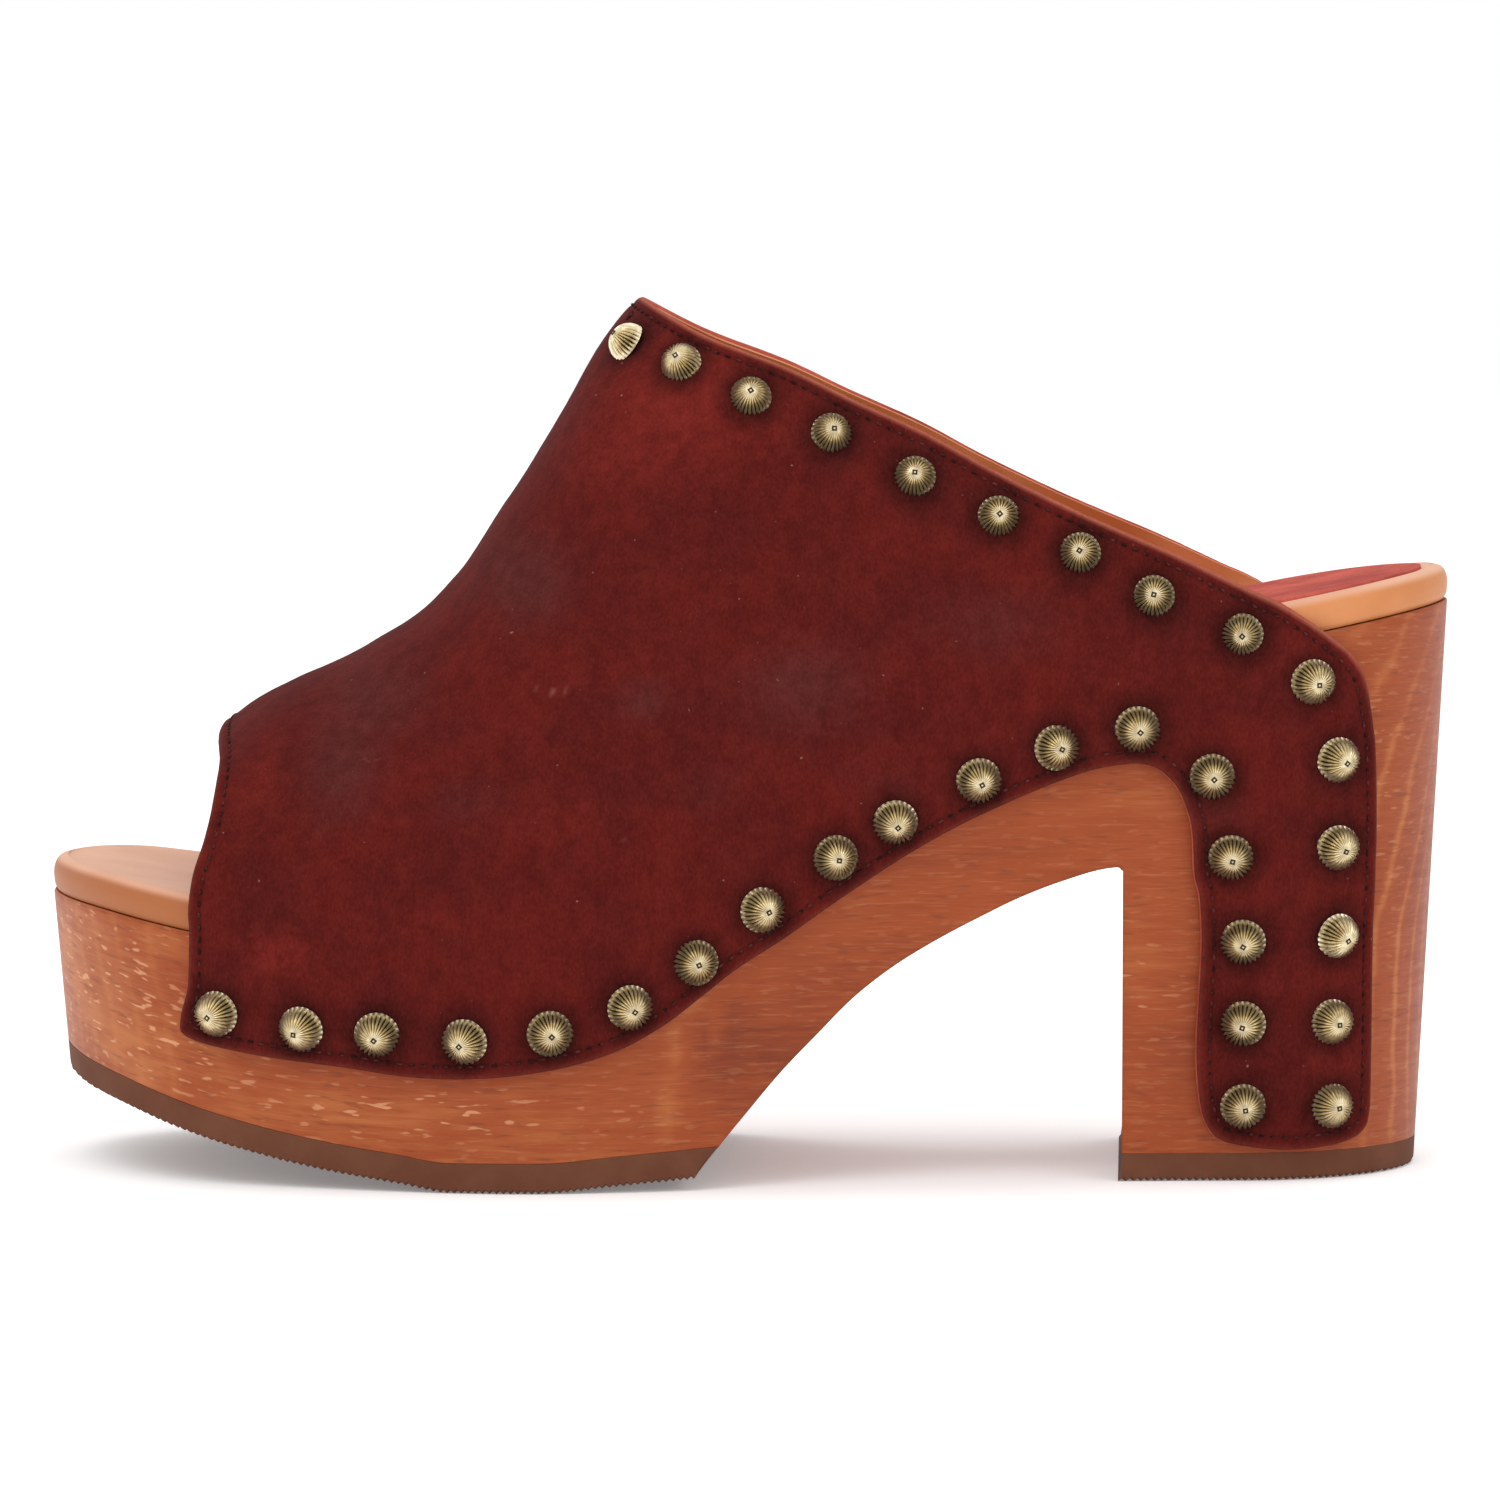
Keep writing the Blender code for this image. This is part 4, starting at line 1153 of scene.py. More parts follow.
@dataclass(frozen=True)
class CarvedSole:
    """The wooden sole: platform, arch and block heel in one piece."""

    last: Last = LAST
    edge: float = 0.0006
    top_edge: float = 0.0003
    joined: float = 0.612
    sharpening: float = 60.0
    grain_turn: float = -0.050
    grain_bend: float = -2.4
    ring_least: float = 0.08
    ring_more: float = 0.30
    fleck_least: float = 0.12
    arch_reach: tuple[float, float] = (0.50, 0.75)
    solve_steps: int = 24
    settle_steps: int = 10
    breast_steps: int = 5
    corner_steps: int = 5
    corner_span: float = 1.4
    end_steps: int = 22
    forefoot_steps: int = 52
    arch_steps: int = 46
    spacing: float = 0.0014
    rows: int = 20
    heel_rows: int = 26
    across: int = 14

    def heel_share(self, height: float, side: Side) -> float:
        """Share of the length of the heel's front face at a height.

        Args:
            height: the height.
            side: outer or inner.

        Returns:
            The share.
        """
        at = BREAST
        for _ in range(self.breast_steps):
            depth = max(0.0, self.last.seat(at) - height)
            _, y = self.last.side_point(at, depth, side)
            at = self.last.share(self.last.breast(y), depth)
        return at

    def place(self, column: float, height: float, side: Side) -> tuple[float, float, float]:
        """Place on the side; column is 0 at the toe, 1 at the heel's front and 2 at its back.

        Returns:
            The share of the length, X and Y.
        """
        front = self.heel_share(height, side)
        at = front * column if column <= 1.0 else front + (1.0 - front) * (column - 1.0)
        x, y = self.last.side_point(at, max(0.0, self.last.seat(at) - height), side)
        return at, x, y

    def bottom(self, column: float, side: Side) -> float:
        """Height of the underside in front of the heel."""
        height = self.last.wood_floor(column * BREAST)
        for _ in range(self.settle_steps):
            at, x, y = self.place(column, height, side)
            height = max(self.last.wood_floor(at), self.last.arch(x, y))
        return height

    def arch_start(self, side: Side) -> float:
        """Column where the arch leaves the forefoot.

        Args:
            side: outer or inner.

        Returns:
            The column.
        """
        low, high = self.arch_reach
        for _ in range(self.solve_steps):
            middle = (low + high) / 2
            height = self.last.wood_floor(middle * BREAST)
            at, x, y = self.place(middle, height, side)
            if self.last.arch(x, y) < self.last.wood_floor(at):
                low = middle
            else:
                high = middle
        return (low + high) / 2

    def columns(self, side: Side) -> Columns:
        """The side's points, column by column.

        Args:
            side: outer or inner.

        Returns:
            The columns, each from bottom to top.
        """
        start = self.arch_start(side)
        span = self.last.length * BREAST
        toe = [v / BREAST for v in eased(self.end_steps, self.last.toe_round)]
        corner_span = self.last.breast_corner * self.corner_span
        corner = [1.0 - v / span for v in reversed(eased(self.corner_steps, corner_span))]
        front = toe + even(toe[-1], start, self.forefoot_steps) + [start]
        front += even(start, corner[0], self.arch_steps) + corner
        heel_span = self.last.length - span
        near = [self.edge * share / heel_span for share in ROUND_STEPS[1:]]
        back = [1.0 - v / (1.0 - BREAST) for v in reversed(eased(self.end_steps, self.last.heel_round))]
        back = [1.0 + v for v in near + between(near[-1], back[0], self.spacing / heel_span) + back]
        return [self._column(c, side) for c in front] + [self._column(c, side) for c in back]

    def _column(self, column: float, side: Side) -> list[Vector]:
        """One column of points from the bottom to the top.

        Args:
            column: 0 at the toe, 1 at the heel's front and 2 at its back.
            side: outer or inner.

        Returns:
            The points.
        """
        meeting = self.last.arch_height - self.last.breast_corner
        heights = []
        low = meeting
        if column < 1.0:
            low = self.bottom(column, side)
        else:
            floor = self.last.lift + self.last.gap
            heights = [floor + self.edge * share for share in ROUND_STEPS]
            heights += between(heights[-1], meeting, (meeting - floor) / self.heel_rows)
        at, x, _ = self.place(column, low, side)
        top = self.last.seat(self.last.share(x, 0.0) if column < 1.0 else at)
        upper = [low + self.edge * share for share in ROUND_STEPS]
        ends = [top - self.top_edge * share for share in (1.0, 0.4, 0.1, 0.0)]
        heights += upper + even(upper[-1], ends[0], self.rows) + ends
        points = []
        for height in heights:
            at, x, y = self.place(column, height, side)
            if height == top:
                height = self.last.seat(at)
            if column >= 1.0:
                forward = x - self.last.breast(y)
                near = forward if height < meeting else math.hypot(forward, height - meeting)
            else:
                near = height - low
            edge = self.edge * min(1.0, max(0.1, (column - self.joined) * self.sharpening))
            inset = max(fillet(near, edge), fillet(top - height, self.top_edge))
            x, y = self.last.side_point(at, max(0.0, self.last.seat(at) - height), side, inset)
            if column == 1.0:
                x = self.last.breast(y)
            points.append(Vector((x, y, height)))
        return points

    def build(self, finish: Alder) -> None:
        """Make the sole and dress it.

        Args:
            finish: its wood.
        """
        mesh = ruled_body("carved_sole", self.columns(Side.OUTER), self.columns(Side.INNER), self.across)

        def ring(p: Vector) -> float:
            """How clearly the growth rings show."""
            return self.ring_least + self.ring_more * min(1.0, spread(RING_SPOTS, p.x / MM, p.z / MM))

        def fleck(p: Vector) -> float:
            """How clearly the flecks show."""
            return min(1.0, self.fleck_least + spread(FLECK_SPOTS, p.x / MM, p.z / MM))

        # painted shade and light, together with the wood's own tone, from WOOD_SPOTS
        paint(mesh, "tone_and_shade", lambda p: spread(WOOD_SPOTS, p.x / MM, p.z / MM))
        paint(mesh, "bend", lambda p: self.grain_bend * max(0.0, self.grain_turn - p.x) ** 2)
        paint(mesh, "ring", ring)
        paint(mesh, "fleck", fleck)
        mesh.materials.append(finish.material())
        add_piece("carved_sole", mesh, ["wood_sole"])


@dataclass(frozen=True)
class Ribs:
    """Fine cross ribs under the rubber."""

    pitch: float = 0.00115
    depth: float = 0.00046

    def rise(self, x: float) -> float:
        """Height of the rubber over the ribs' crests."""
        share = abs((x / self.pitch) % 1.0 * 2.0 - 1.0)
        return self.depth * min(1.0, max(0.0, 1.35 * share - 0.15))


@dataclass(frozen=True)
class RubberSoles:
    """The ribbed rubber under the forefoot and under the heel."""

    last: Last = LAST
    ribs: Ribs = Ribs()
    edge: float = 0.0006
    steps_per_rib: int = 4
    end_steps: int = 26
    end_share: float = 0.25
    across: int = 6
    arch_from: float = 0.44
    arch_steps: int = 40
    search_from: float = 0.46
    search_step: float = 0.0002
    flare: float = 0.0004
    flare_reach: float = 0.0025
    joint: float = 0.00003

    def _side(self, at: float, low: float, high: float, side: Side) -> list[Vector]:
        """One column of a rubber side.

        Args:
            at: share of the length.
            low: height of its underside.
            high: height of its top.
            side: outer or inner.

        Returns:
            The points.
        """
        points = []
        for share in (0.0, 0.08, 0.2, 0.45, 0.7, 1.0):
            height = low + (high - low) * share
            depth = max(0.0, self.last.seat(at) - height)
            inset = fillet(height - low, min(self.edge, high - low))
            points.append(Vector((*self.last.side_point(at, depth, side, inset), height)))
        return points

    def _forefoot_column(self, at: float, side: Side) -> list[Vector]:
        """One column of the forefoot rubber, cut off by the arch at its back.

        Args:
            at: share of the length.
            side: outer or inner.

        Returns:
            The points.
        """
        high = self.last.wood_floor(at) - self.joint
        depth = self.last.seat(at) - self.last.tread(at)
        x, _ = self.last.side_point(at, depth, side)
        low = self.last.tread(at) + self.ribs.rise(x)
        for _ in range(6):
            x, y = self.last.side_point(at, max(0.0, self.last.seat(at) - low), side)
            low = max(low, min(high, self.last.arch(x, y)))
        return self._side(at, low, high, side)

    def _forefoot_end(self, side: Side) -> float:
        """Share of the length where the arch reaches the rubber's top.

        Args:
            side: outer or inner.

        Returns:
            The share.
        """
        at = self.search_from
        while True:
            high = self.last.wood_floor(at) - self.joint
            x, y = self.last.side_point(at, self.last.seat(at) - high, side)
            if self.last.arch(x, y) >= high:
                return at
            at += self.search_step

    def forefoot(self, material: bpy.types.Material) -> None:
        """Make the forefoot's rubber.

        Args:
            material: its material.
        """
        step = self.ribs.pitch / self.steps_per_rib / self.last.length
        sides = []
        for side in Side:
            end = self._forefoot_end(side)
            ats = eased(self.end_steps, self.last.toe_round * self.end_share)
            ats += between(ats[-1], self.arch_from, step) + [self.arch_from]
            ats += even(self.arch_from, end, self.arch_steps) + [end]
            sides.append([self._forefoot_column(at, side) for at in ats])
        mesh = ruled_body("forefoot_rubber", *sides, self.across)
        mesh.materials.append(material)
        add_piece("forefoot_rubber", mesh, ["forefoot_outsole"])

    def heel(self, material: bpy.types.Material) -> None:
        """Make the heel's rubber.

        Args:
            material: its material.
        """
        shape = CarvedSole(self.last)
        step = self.ribs.pitch / self.steps_per_rib / (self.last.length * (1.0 - BREAST))
        rounded = eased(self.end_steps, self.last.heel_round * self.end_share)
        back = [1.0 - v / (1.0 - BREAST) for v in reversed(rounded)]
        columns = [1.0, *(1.0 + v for v in [*between(0.0, back[0], step), *back])]
        sides = []
        for side in Side:
            made = []
            for column in columns:
                at, x, _ = shape.place(column, 0.0, side)
                top = self.last.lift + self.last.gap - self.joint
                points = self._side(at, self.ribs.rise(x), top, side)
                for point in points:
                    ahead = x - self.last.breast(point.y)
                    fade = max(0.0, 1.0 - ahead / self.flare_reach) * (1.0 - point.z / self.last.lift)
                    point.x -= self.flare * fade
                made.append(points)
            sides.append(made)
        mesh = ruled_body("heel_rubber", *sides, self.across)
        mesh.materials.append(material)
        add_piece("heel_rubber", mesh, ["heel_lift"])


# The pad's edge from below: how far in and how high, in thicknesses of the pad
PAD_SECTION = ((0.3, -0.1), (0.0, 0.25), (0.0, 0.6), (0.25, 0.9), (0.8, 1.0))


@dataclass(frozen=True)
class Bed:
    """The padded footbed and the suede pad on its heel."""

    last: Last = LAST
    rim_inset: Curve = Curve({0.0: 0.25, 0.2: 0.05, 0.4: 0.0, 0.6: 0.12, 0.8: 0.45, 1.0: 1.0})
    rim_height: Curve = Curve({0.0: 0.0, 0.2: 0.20, 0.4: 0.50, 0.6: 0.76, 0.8: 0.94, 1.0: 1.0})
    joint: float = 0.00012
    rim_steps: int = 18
    end_steps: int = 26
    spacing: float = 0.0016
    across: int = 26
    swell: float = 0.00018
    swell_rate: float = 60.0
    pad_front: float = 0.72
    pad_back: float = 0.981
    pad_front_round: float = 0.06
    pad_back_round: float = 0.10
    pad_margin: float = 0.0045
    pad_thickness: float = 0.0010
    pad_ragged: float = 0.00012
    pad_swell: float = 0.00010
    pad_front_steps: int = 18
    pad_back_steps: int = 22
    pad_across: int = 20

    def _rim(self, at: float, side: Side) -> list[Vector]:
        """One column of the footbed's rolled rim.

        Args:
            at: share of the length.
            side: outer or inner.

        Returns:
            The points.
        """
        low = self.last.seat(at) + self.joint
        thick = self.last.bed_top(at) - low
        points = []
        for step in range(self.rim_steps + 1):
            share = step / self.rim_steps
            inset = self.last.footbed_edge * self.rim_inset(share)
            x, y = self.last.side_point(at, 0.0, side, inset)
            points.append(Vector((x, y, low + thick * self.rim_height(share))))
        return points

    def footbed(self, finish: FootbedLeather) -> bpy.types.Object:
        """Make the footbed.

        Args:
            finish: its leather.

        Returns:
            The piece.
        """
        last = self.last
        toe = eased(self.end_steps, last.toe_round)
        heel = [1.0 - v for v in reversed(eased(self.end_steps, last.heel_round))]
        ats = toe + between(toe[-1], heel[0], self.spacing / last.length) + heel

        def dished(point: Vector, across: float) -> Vector:
            """The top inside the rim."""
            at = point.x / last.length + 0.5
            swell = self.swell * noise.noise(point * self.swell_rate)
            fade = 1.0 - abs(2.0 * across - 1.0) ** 4
            return point - Vector((0.0, 0.0, last.bed_dish(at, across) - swell * fade))

        columns = [[self._rim(at, side) for at in ats] for side in Side]
        mesh = ruled_body("padded_footbed", *columns, self.across, dished)

        def on_top(point: Vector) -> float:
            """1 on the flat top and 0 down the rim."""
            over = point.z - last.seat(point.x / last.length + 0.5)
            return min(1.0, max(0.0, (over / last.footbed - 0.86) / 0.16))

        paint(mesh, "top", on_top)
        # painted shade: the rim darker towards the toe
        paint(mesh, "toe", lambda p: min(1.0, max(0.0, -p.x / last.length * 4.0 - 0.6)))
        mesh.materials.append(finish.material())
        return add_piece("padded_footbed", mesh, ["footbed"])

    def _dish(self, at: float, y: float) -> float:
        """Depth of the footbed's dish at a place."""
        sides = [self.last.side_point(at, 0.0, side, self.last.footbed_edge)[1] for side in Side]
        return self.last.bed_dish(at, (y - sides[0]) / (sides[1] - sides[0]))

    def _pad_edge(self, at: float, side: Side, inset: float, height: float) -> float:
        """Y of the pad's edge, a little ragged; inset and height are in thicknesses of the pad."""
        half = self.last.ball * HALF_WIDTH(at) - self.pad_margin
        half *= end_rounding((at - self.pad_front) / self.pad_front_round,
                             (self.pad_back - at) / self.pad_back_round)
        drawn = max(0.0, half - self.pad_thickness * inset)
        ragged = self.pad_ragged * noise.noise(Vector((at * self.last.length, side.value, height)) * 700.0)
        return self.last.middle(at) + side.value * (drawn + ragged * (half > self.pad_margin))

    def heel_pad(self, finish: Suede) -> bpy.types.Object:
        """Make the heel pad.

        Args:
            finish: its suede.

        Returns:
            The piece.
        """
        last = self.last
        front = [self.pad_front + v for v in eased(self.pad_front_steps, self.pad_front_round)]
        back = [self.pad_back - v for v in reversed(eased(self.pad_back_steps, self.pad_back_round))]
        ats = front + between(front[-1], back[0], self.spacing / last.length) + back
        sides = []
        for side in Side:
            columns = []
            for at in ats:
                low = last.bed_top(at) - self._dish(at, self._pad_edge(at, side, *PAD_SECTION[-1]))
                columns.append([
                    Vector(((at - 0.5) * last.length, self._pad_edge(at, side, inset, height),
                            low + self.pad_thickness * height))
                    for inset, height in PAD_SECTION
                ])
            sides.append(columns)

        def settled(point: Vector, across: float) -> Vector:
            """The pad's top, which follows the footbed's dish."""
            at = point.x / last.length + 0.5
            outer, inner = (self._pad_edge(at, side, *PAD_SECTION[-1]) for side in Side)
            edges = (1.0 - across) * self._dish(at, outer) + across * self._dish(at, inner)
            fade = min(1.0, max(0.0, min(point.y - outer, inner - point.y)) / self.pad_margin)
            swell = self.pad_swell * fade * noise.noise(point * 250.0)
            return point - Vector((0.0, 0.0, self._dish(at, point.y) - edges - swell))

        mesh = ruled_body("suede_heel_pad", *sides, self.pad_across, settled)
        mesh.materials.append(finish.material())
        return add_piece("suede_heel_pad", mesh, ["heel_pad"])

    def build(self, finish: FootbedLeather, pad_finish: Suede) -> None:
        self.footbed(finish)
        self.heel_pad(pad_finish)


# Material slots of the upper's faces
SUEDE_FACE, EDGE_FACE, LINING_FACE = 0, 1, 2
# The cut edge from the outside to the lining: share of the way, bulge in millimetres and slot
EDGE_PROFILE = (
    (0.22, 0.10, EDGE_FACE), (0.5, 0.16, EDGE_FACE), (0.68, 0.08, EDGE_FACE),
    (0.74, 0.02, LINING_FACE), (0.9, 0.08, LINING_FACE),
)


@dataclass
class Upper:
    """The suede upper with its lining, raw edge and edge stitching."""

    skin: Skin
    outline: Outline
    rows: tuple[float, ...] = (0.0003, 0.0007, 0.0011, 0.0015, 0.0018, 0.0021, 0.0024, 0.0028, 0.0034)
    grid: float = 0.00138
    clear: float = 0.0042
    round_reach: float = 0.0009
    round_drop: float = 0.00035
    stitch_inset: float = 0.0021
    stitch_pitch: float = 0.00195
    stitch_length: float = 0.0011
    stitch_radius: float = 0.00025
    groove_depth: float = 0.00016
    groove_width: float = 0.0004
    tack_inset: float = 0.0024
    tack_off_ridge: float = 0.0102
    tack_width: float = 0.0019
    tack_length: float = 0.0016
    halo: float = 0.0056
    raw_reach: float = 0.0009
    collar_low: float = 0.078
    collar_fade: float = 0.012
    dimple: float = 0.00030
    dimple_share: float = 0.6
    relief_reach: float = 0.006
    pucker: float = 0.00016
    grain: float = 0.00007
    groove_shade: float = 0.30
    shade_width: float = 0.0005
    stud_shade: float = 0.95
    _near_edge: KDTree | None = None
    _near_stud: KDTree | None = None

    def __post_init__(self) -> None:
        """Index the edge and the studs."""
        self._near_edge = self._tree([p.place for p in self.outline.points])
        studs = [self.skin.stud_seat(mark, side)[0] for side in Side for mark in (*NAILS, *RIVETS)]
        self._near_stud = self._tree(studs)

    @staticmethod
    def _tree(places: Sequence[Vector]) -> KDTree:
        """A search tree of places."""
        tree = KDTree(len(places))
        for index, place in enumerate(places):
            tree.insert(place, index)
        tree.balance()
        return tree

    def edge_distance(self, place: Vector) -> float:
        """Distance to the cut edge, between its points too.

        Args:
            place: a place in space.

        Returns:
            The distance.
        """
        _, index, _ = self._near_edge.find(place)
        points = self.outline.points
        best = math.inf
        for a, b in ((index - 1, index), (index, (index + 1) % len(points))):
            start, run = points[a].place, points[b].place - points[a].place
            share = min(1.0, max(0.0, (place - start).dot(run) / run.length_squared))
            best = min(best, (place - start - run * share).length)
        return best

    def offset_row(self, inset: float) -> list[Vector]:
        """Map places of a line inside the edge, without those that fold over at its corners.

        Args:
            inset: distance from the edge.

        Returns:
            The places.
        """
        made = []
        for point in self.outline.points:
            flat = point.flat + point.inward_flat * inset
            if self.edge_distance(self.skin.face(flat.x, flat.y)) > 0.94 * inset:
                made.append(flat)
        return made

    def lift(self, place: Vector) -> float:
        """Thickness of the leather at a place, with its soft relief.

        Args:
            place: the plain place in space.

        Returns:
            The distance from the inside to the outside.
        """
        near = self.edge_distance(place)
        stud = self._near_stud.find(place)[2]
        _, z = self.skin.side_view(place)
        rounded = self.round_drop * max(0.0, 1.0 - near / self.round_reach) ** 2
        groove = self.groove_depth * math.exp(-(((near - self.stitch_inset) / self.groove_width) ** 2))
        dimple = self.dimple * math.exp(-((stud / (self.dimple_share * self.halo)) ** 2))
        inner = min(1.0, near / self.relief_reach)
        folds = MM * spread(FOLDS, place.x / MM, z / MM) * inner
        pucker = self.pucker * noise.noise(place * 90.0) * inner + self.grain * noise.noise(place * 320.0)
        return self.skin.last.leather - rounded - groove - dimple - folds + pucker

    def build_leather(self, suede: Suede, edge: Suede, lining: SmoothLeather) -> None:
        """Make the upper: outside, lining and the cut edge between them.

        Args:
            suede: finish of the outside.
            edge: finish of the cut edge.
            lining: finish of the inside.
        """
        border = [p.flat for p in self.outline.points]
        inside = [flat for row in self.rows for flat in self.offset_row(row)]
        inside += self._grid_places()
        verts, _, faces, _, _, _ = delaunay_2d_cdt(border + inside, [], [list(range(len(border)))], 1, 1e-7)
        ring = self._ring(verts, faces)
        outer, inner = [], []
        for flat in verts:
            place, outward = self.skin.inside(flat.x, flat.y), self.skin.outward(flat.x, flat.y)
            plain = place + outward * self.skin.last.leather
            outer.append(place + outward * self.lift(plain))
            inner.append(place)
        shape = bmesh.new()
        top = [shape.verts.new(p) for p in outer]
        back = [shape.verts.new(p) for p in inner]
        for face in faces:
            shape.faces.new([top[i] for i in face]).material_index = SUEDE_FACE
            shape.faces.new([back[i] for i in reversed(face)]).material_index = LINING_FACE
        self._close_edge(shape, verts, ring, top, back)
        mesh = to_mesh(shape, "suede_upper", sharp=60.0)
        self._paint(mesh)
        for finish in (suede, edge, lining):
            mesh.materials.append(finish.material())
        add_piece("suede_upper", mesh, ["upper"])

    def _grid_places(self) -> list[Vector]:
        """Even places over the map, clear of the rows along the edge.

        Returns:
            The places.
        """
        flats = [p.flat for p in self.outline.points]
        low_x, high_x = min(p.x for p in flats), max(p.x for p in flats)
        low_y, high_y = min(p.y for p in flats), max(p.y for p in flats)
        made = []
        row_height = self.grid * math.sqrt(3) / 2
        for row in range(int((high_y - low_y) / row_height) + 1):
            y = low_y + row * row_height
            for column in range(int((high_x - low_x) / self.grid) + 1):
                x = low_x + (column + 0.5 * (row % 2)) * self.grid
                if self.edge_distance(self.skin.face(x, y)) > self.clear:
                    made.append(Vector((x, y)))
        return made

    @staticmethod
    def _ring(verts: Sequence[Vector], faces: Sequence[Sequence[int]]) -> list[tuple[int, int]]:
        """The border's edges, each in the direction of its one face."""
        seen: dict[tuple[int, int], int] = {}
        for face in faces:
            for a, b in zip(face, [*face[1:], face[0]]):
                seen[(a, b)] = seen.get((a, b), 0) + 1
        return [pair for pair in seen if (pair[1], pair[0]) not in seen]

    def _close_edge(
        self,
        shape: bmesh.types.BMesh,
        verts: Sequence[Vector],
        ring: Sequence[tuple[int, int]],
        top: Sequence[bmesh.types.BMVert],
        back: Sequence[bmesh.types.BMVert],
    ) -> None:
        """Bridge outside and lining with a rounded raw edge, suede above and lining below.

        Args:
            shape: the shape to add to.
            verts: places on the map.
            ring: the border's edges.
            top: the outside's vertices.
            back: the lining's vertices.
        """
        rows: dict[int, list[bmesh.types.BMVert]] = {}
        out: dict[int, Vector] = {}
        for a, b in ring:
            along = top[b].co - top[a].co
            for index in (a, b):
                sideways = along.cross(self.skin.outward(verts[index].x, verts[index].y))
                out[index] = out.get(index, Vector()) + sideways.normalized()
        for index, way in out.items():
            start, end, way = top[index].co, back[index].co, way.normalized()
            rows[index] = [top[index]]
            for down, bulge, _ in EDGE_PROFILE:
                fray = 0.05 * MM * noise.noise(start * 1500.0)
                rows[index].append(shape.verts.new(start.lerp(end, down) + way * (bulge * MM + fray)))
            rows[index].append(back[index])
        kinds = [EDGE_FACE, *(kind for _, _, kind in EDGE_PROFILE)]
        for a, b in ring:
            for step, kind in enumerate(kinds):
                quad = (rows[b][step], rows[a][step], rows[a][step + 1], rows[b][step + 1])
                shape.faces.new(quad).material_index = kind

    def _paint(self, mesh: bpy.types.Mesh) -> None:
        """Paint the suede's patches, the painted shade round the studs and along the stitch line, and the
        raw edge.

        Args:
            mesh: the upper's mesh.
        """

        def patch(spots: Sequence[Spot]) -> Callable[[Vector], float]:
            """A painter for soft patches, the same on both sides."""
            return lambda p: min(1.0, spread(spots, p.x / MM, self.skin.side_view(p)[1] / MM))

        def shade(p: Vector) -> float:
            """Painted shade round each stud and along the stitch groove."""
            stud = self._near_stud.find(p)[2]
            near = self.edge_distance(p)
            groove = self.groove_shade * math.exp(-(((near - self.stitch_inset) / self.shade_width) ** 2))
            return min(1.0, self.stud_shade * math.exp(-((stud / self.halo) ** 4)) + groove)

        def raw(p: Vector) -> float:
            """The pale cut line, strongest along the collar."""
            collar = min(1.0, max(0.0, (p.z - self.collar_low) / self.collar_fade))
            return (0.12 + 0.88 * collar) * max(0.0, 1.0 - self.edge_distance(p) / self.raw_reach)

        paint(mesh, "warm", patch(WARM_SPOTS))
        paint(mesh, "cool", patch(COOL_SPOTS))
        paint(mesh, "pale", patch(PALE_SPOTS))
        paint(mesh, "shade", shade)
        paint(mesh, "raw", raw)

    def build_stitches(self, thread: Thread) -> None:
        """Make the edge stitching and the bar tacks at the collar's peak.

        Args:
            thread: its finish.
        """
        flats = self.offset_row(self.stitch_inset)
        places = [self.skin.face(p.x, p.y) for p in flats]
        dash = self._dash()
        shape = bmesh.new()
        walked, due = 0.0, 0.0
        for i, (a, b) in enumerate(zip(places, [*places[1:], places[0]])):
            step = (b - a).length
            while due < walked + step:
                flat = flats[i].lerp(flats[(i + 1) % len(flats)], (due - walked) / step)
                self._sew(shape, dash, flat, b - a, self.stitch_length)
                due += self.stitch_pitch
            walked += step
        peak = self.outline.points[0]
        middle = peak.flat + peak.inward_flat * self.tack_inset - Vector((0.0, self.tack_off_ridge))
        for step in (-1.5, -0.5, 0.5, 1.5):
            flat = middle + Vector((0.0, step * self.tack_width / 4))
            run = self.skin.face(flat.x + MM, flat.y) - self.skin.face(flat.x, flat.y)
            self._sew(shape, dash, flat, run, self.tack_length)
        bpy.data.meshes.remove(dash)
        mesh = to_mesh(shape, "edge_stitching", sharp=80.0)
        mesh.materials.append(thread.material())
        add_piece("edge_stitching", mesh)

    def _dash(self) -> bpy.types.Mesh:
        """One stitch, a metre long, along X.

        Returns:
            The mesh.
        """
        bpy.ops.object.select_all(action="DESELECT")
        turn = (0.0, math.pi / 2, 0.0)
        bpy.ops.mesh.primitive_uv_sphere_add(segments=6, ring_count=5, radius=0.5, rotation=turn)
        made = bpy.context.object
        bpy.ops.object.transform_apply(location=False, rotation=True, scale=False)
        mesh = made.data.copy()
        bpy.data.objects.remove(made, do_unlink=True)
        return mesh

    def _sew(
        self, shape: bmesh.types.BMesh, dash: bpy.types.Mesh, flat: Vector, run: Vector, length: float
    ) -> None:
        """Lay one stitch on the leather.

        Args:
            shape: the stitching so far.
            dash: one stitch, a metre long, along X.
            flat: its place on the map.
            run: its direction in space.
            length: its length.
        """
        outward = self.skin.outward(flat.x, flat.y)
        plain = self.skin.face(flat.x, flat.y)
        depth = self.lift(plain) + 0.3 * self.stitch_radius
        place = self.skin.inside(flat.x, flat.y) + outward * depth
        along = (run - outward * run.dot(outward)).normalized()
        turn = Matrix((along, outward.cross(along), outward)).transposed().to_4x4()
        wide = 2.0 * self.stitch_radius
        single = dash.copy()
        single.transform(Matrix.Translation(place) @ turn @ Matrix.Diagonal((length, wide, wide, 1.0)))
        shape.from_mesh(single)
        bpy.data.meshes.remove(single)


class Press(NamedTuple):
    """How one column in four of a stud's dome is pressed in.

    depth is a share of the flutes' depth at the rim, and growth over 1 keeps it shallow
    until near the rim.
    """

    column: int
    depth: float
    growth: float


class TipMark(NamedTuple):
    """A square plate at a stud's tip; top is in heights of the stud."""

    radius: float
    top: float
    crest: float


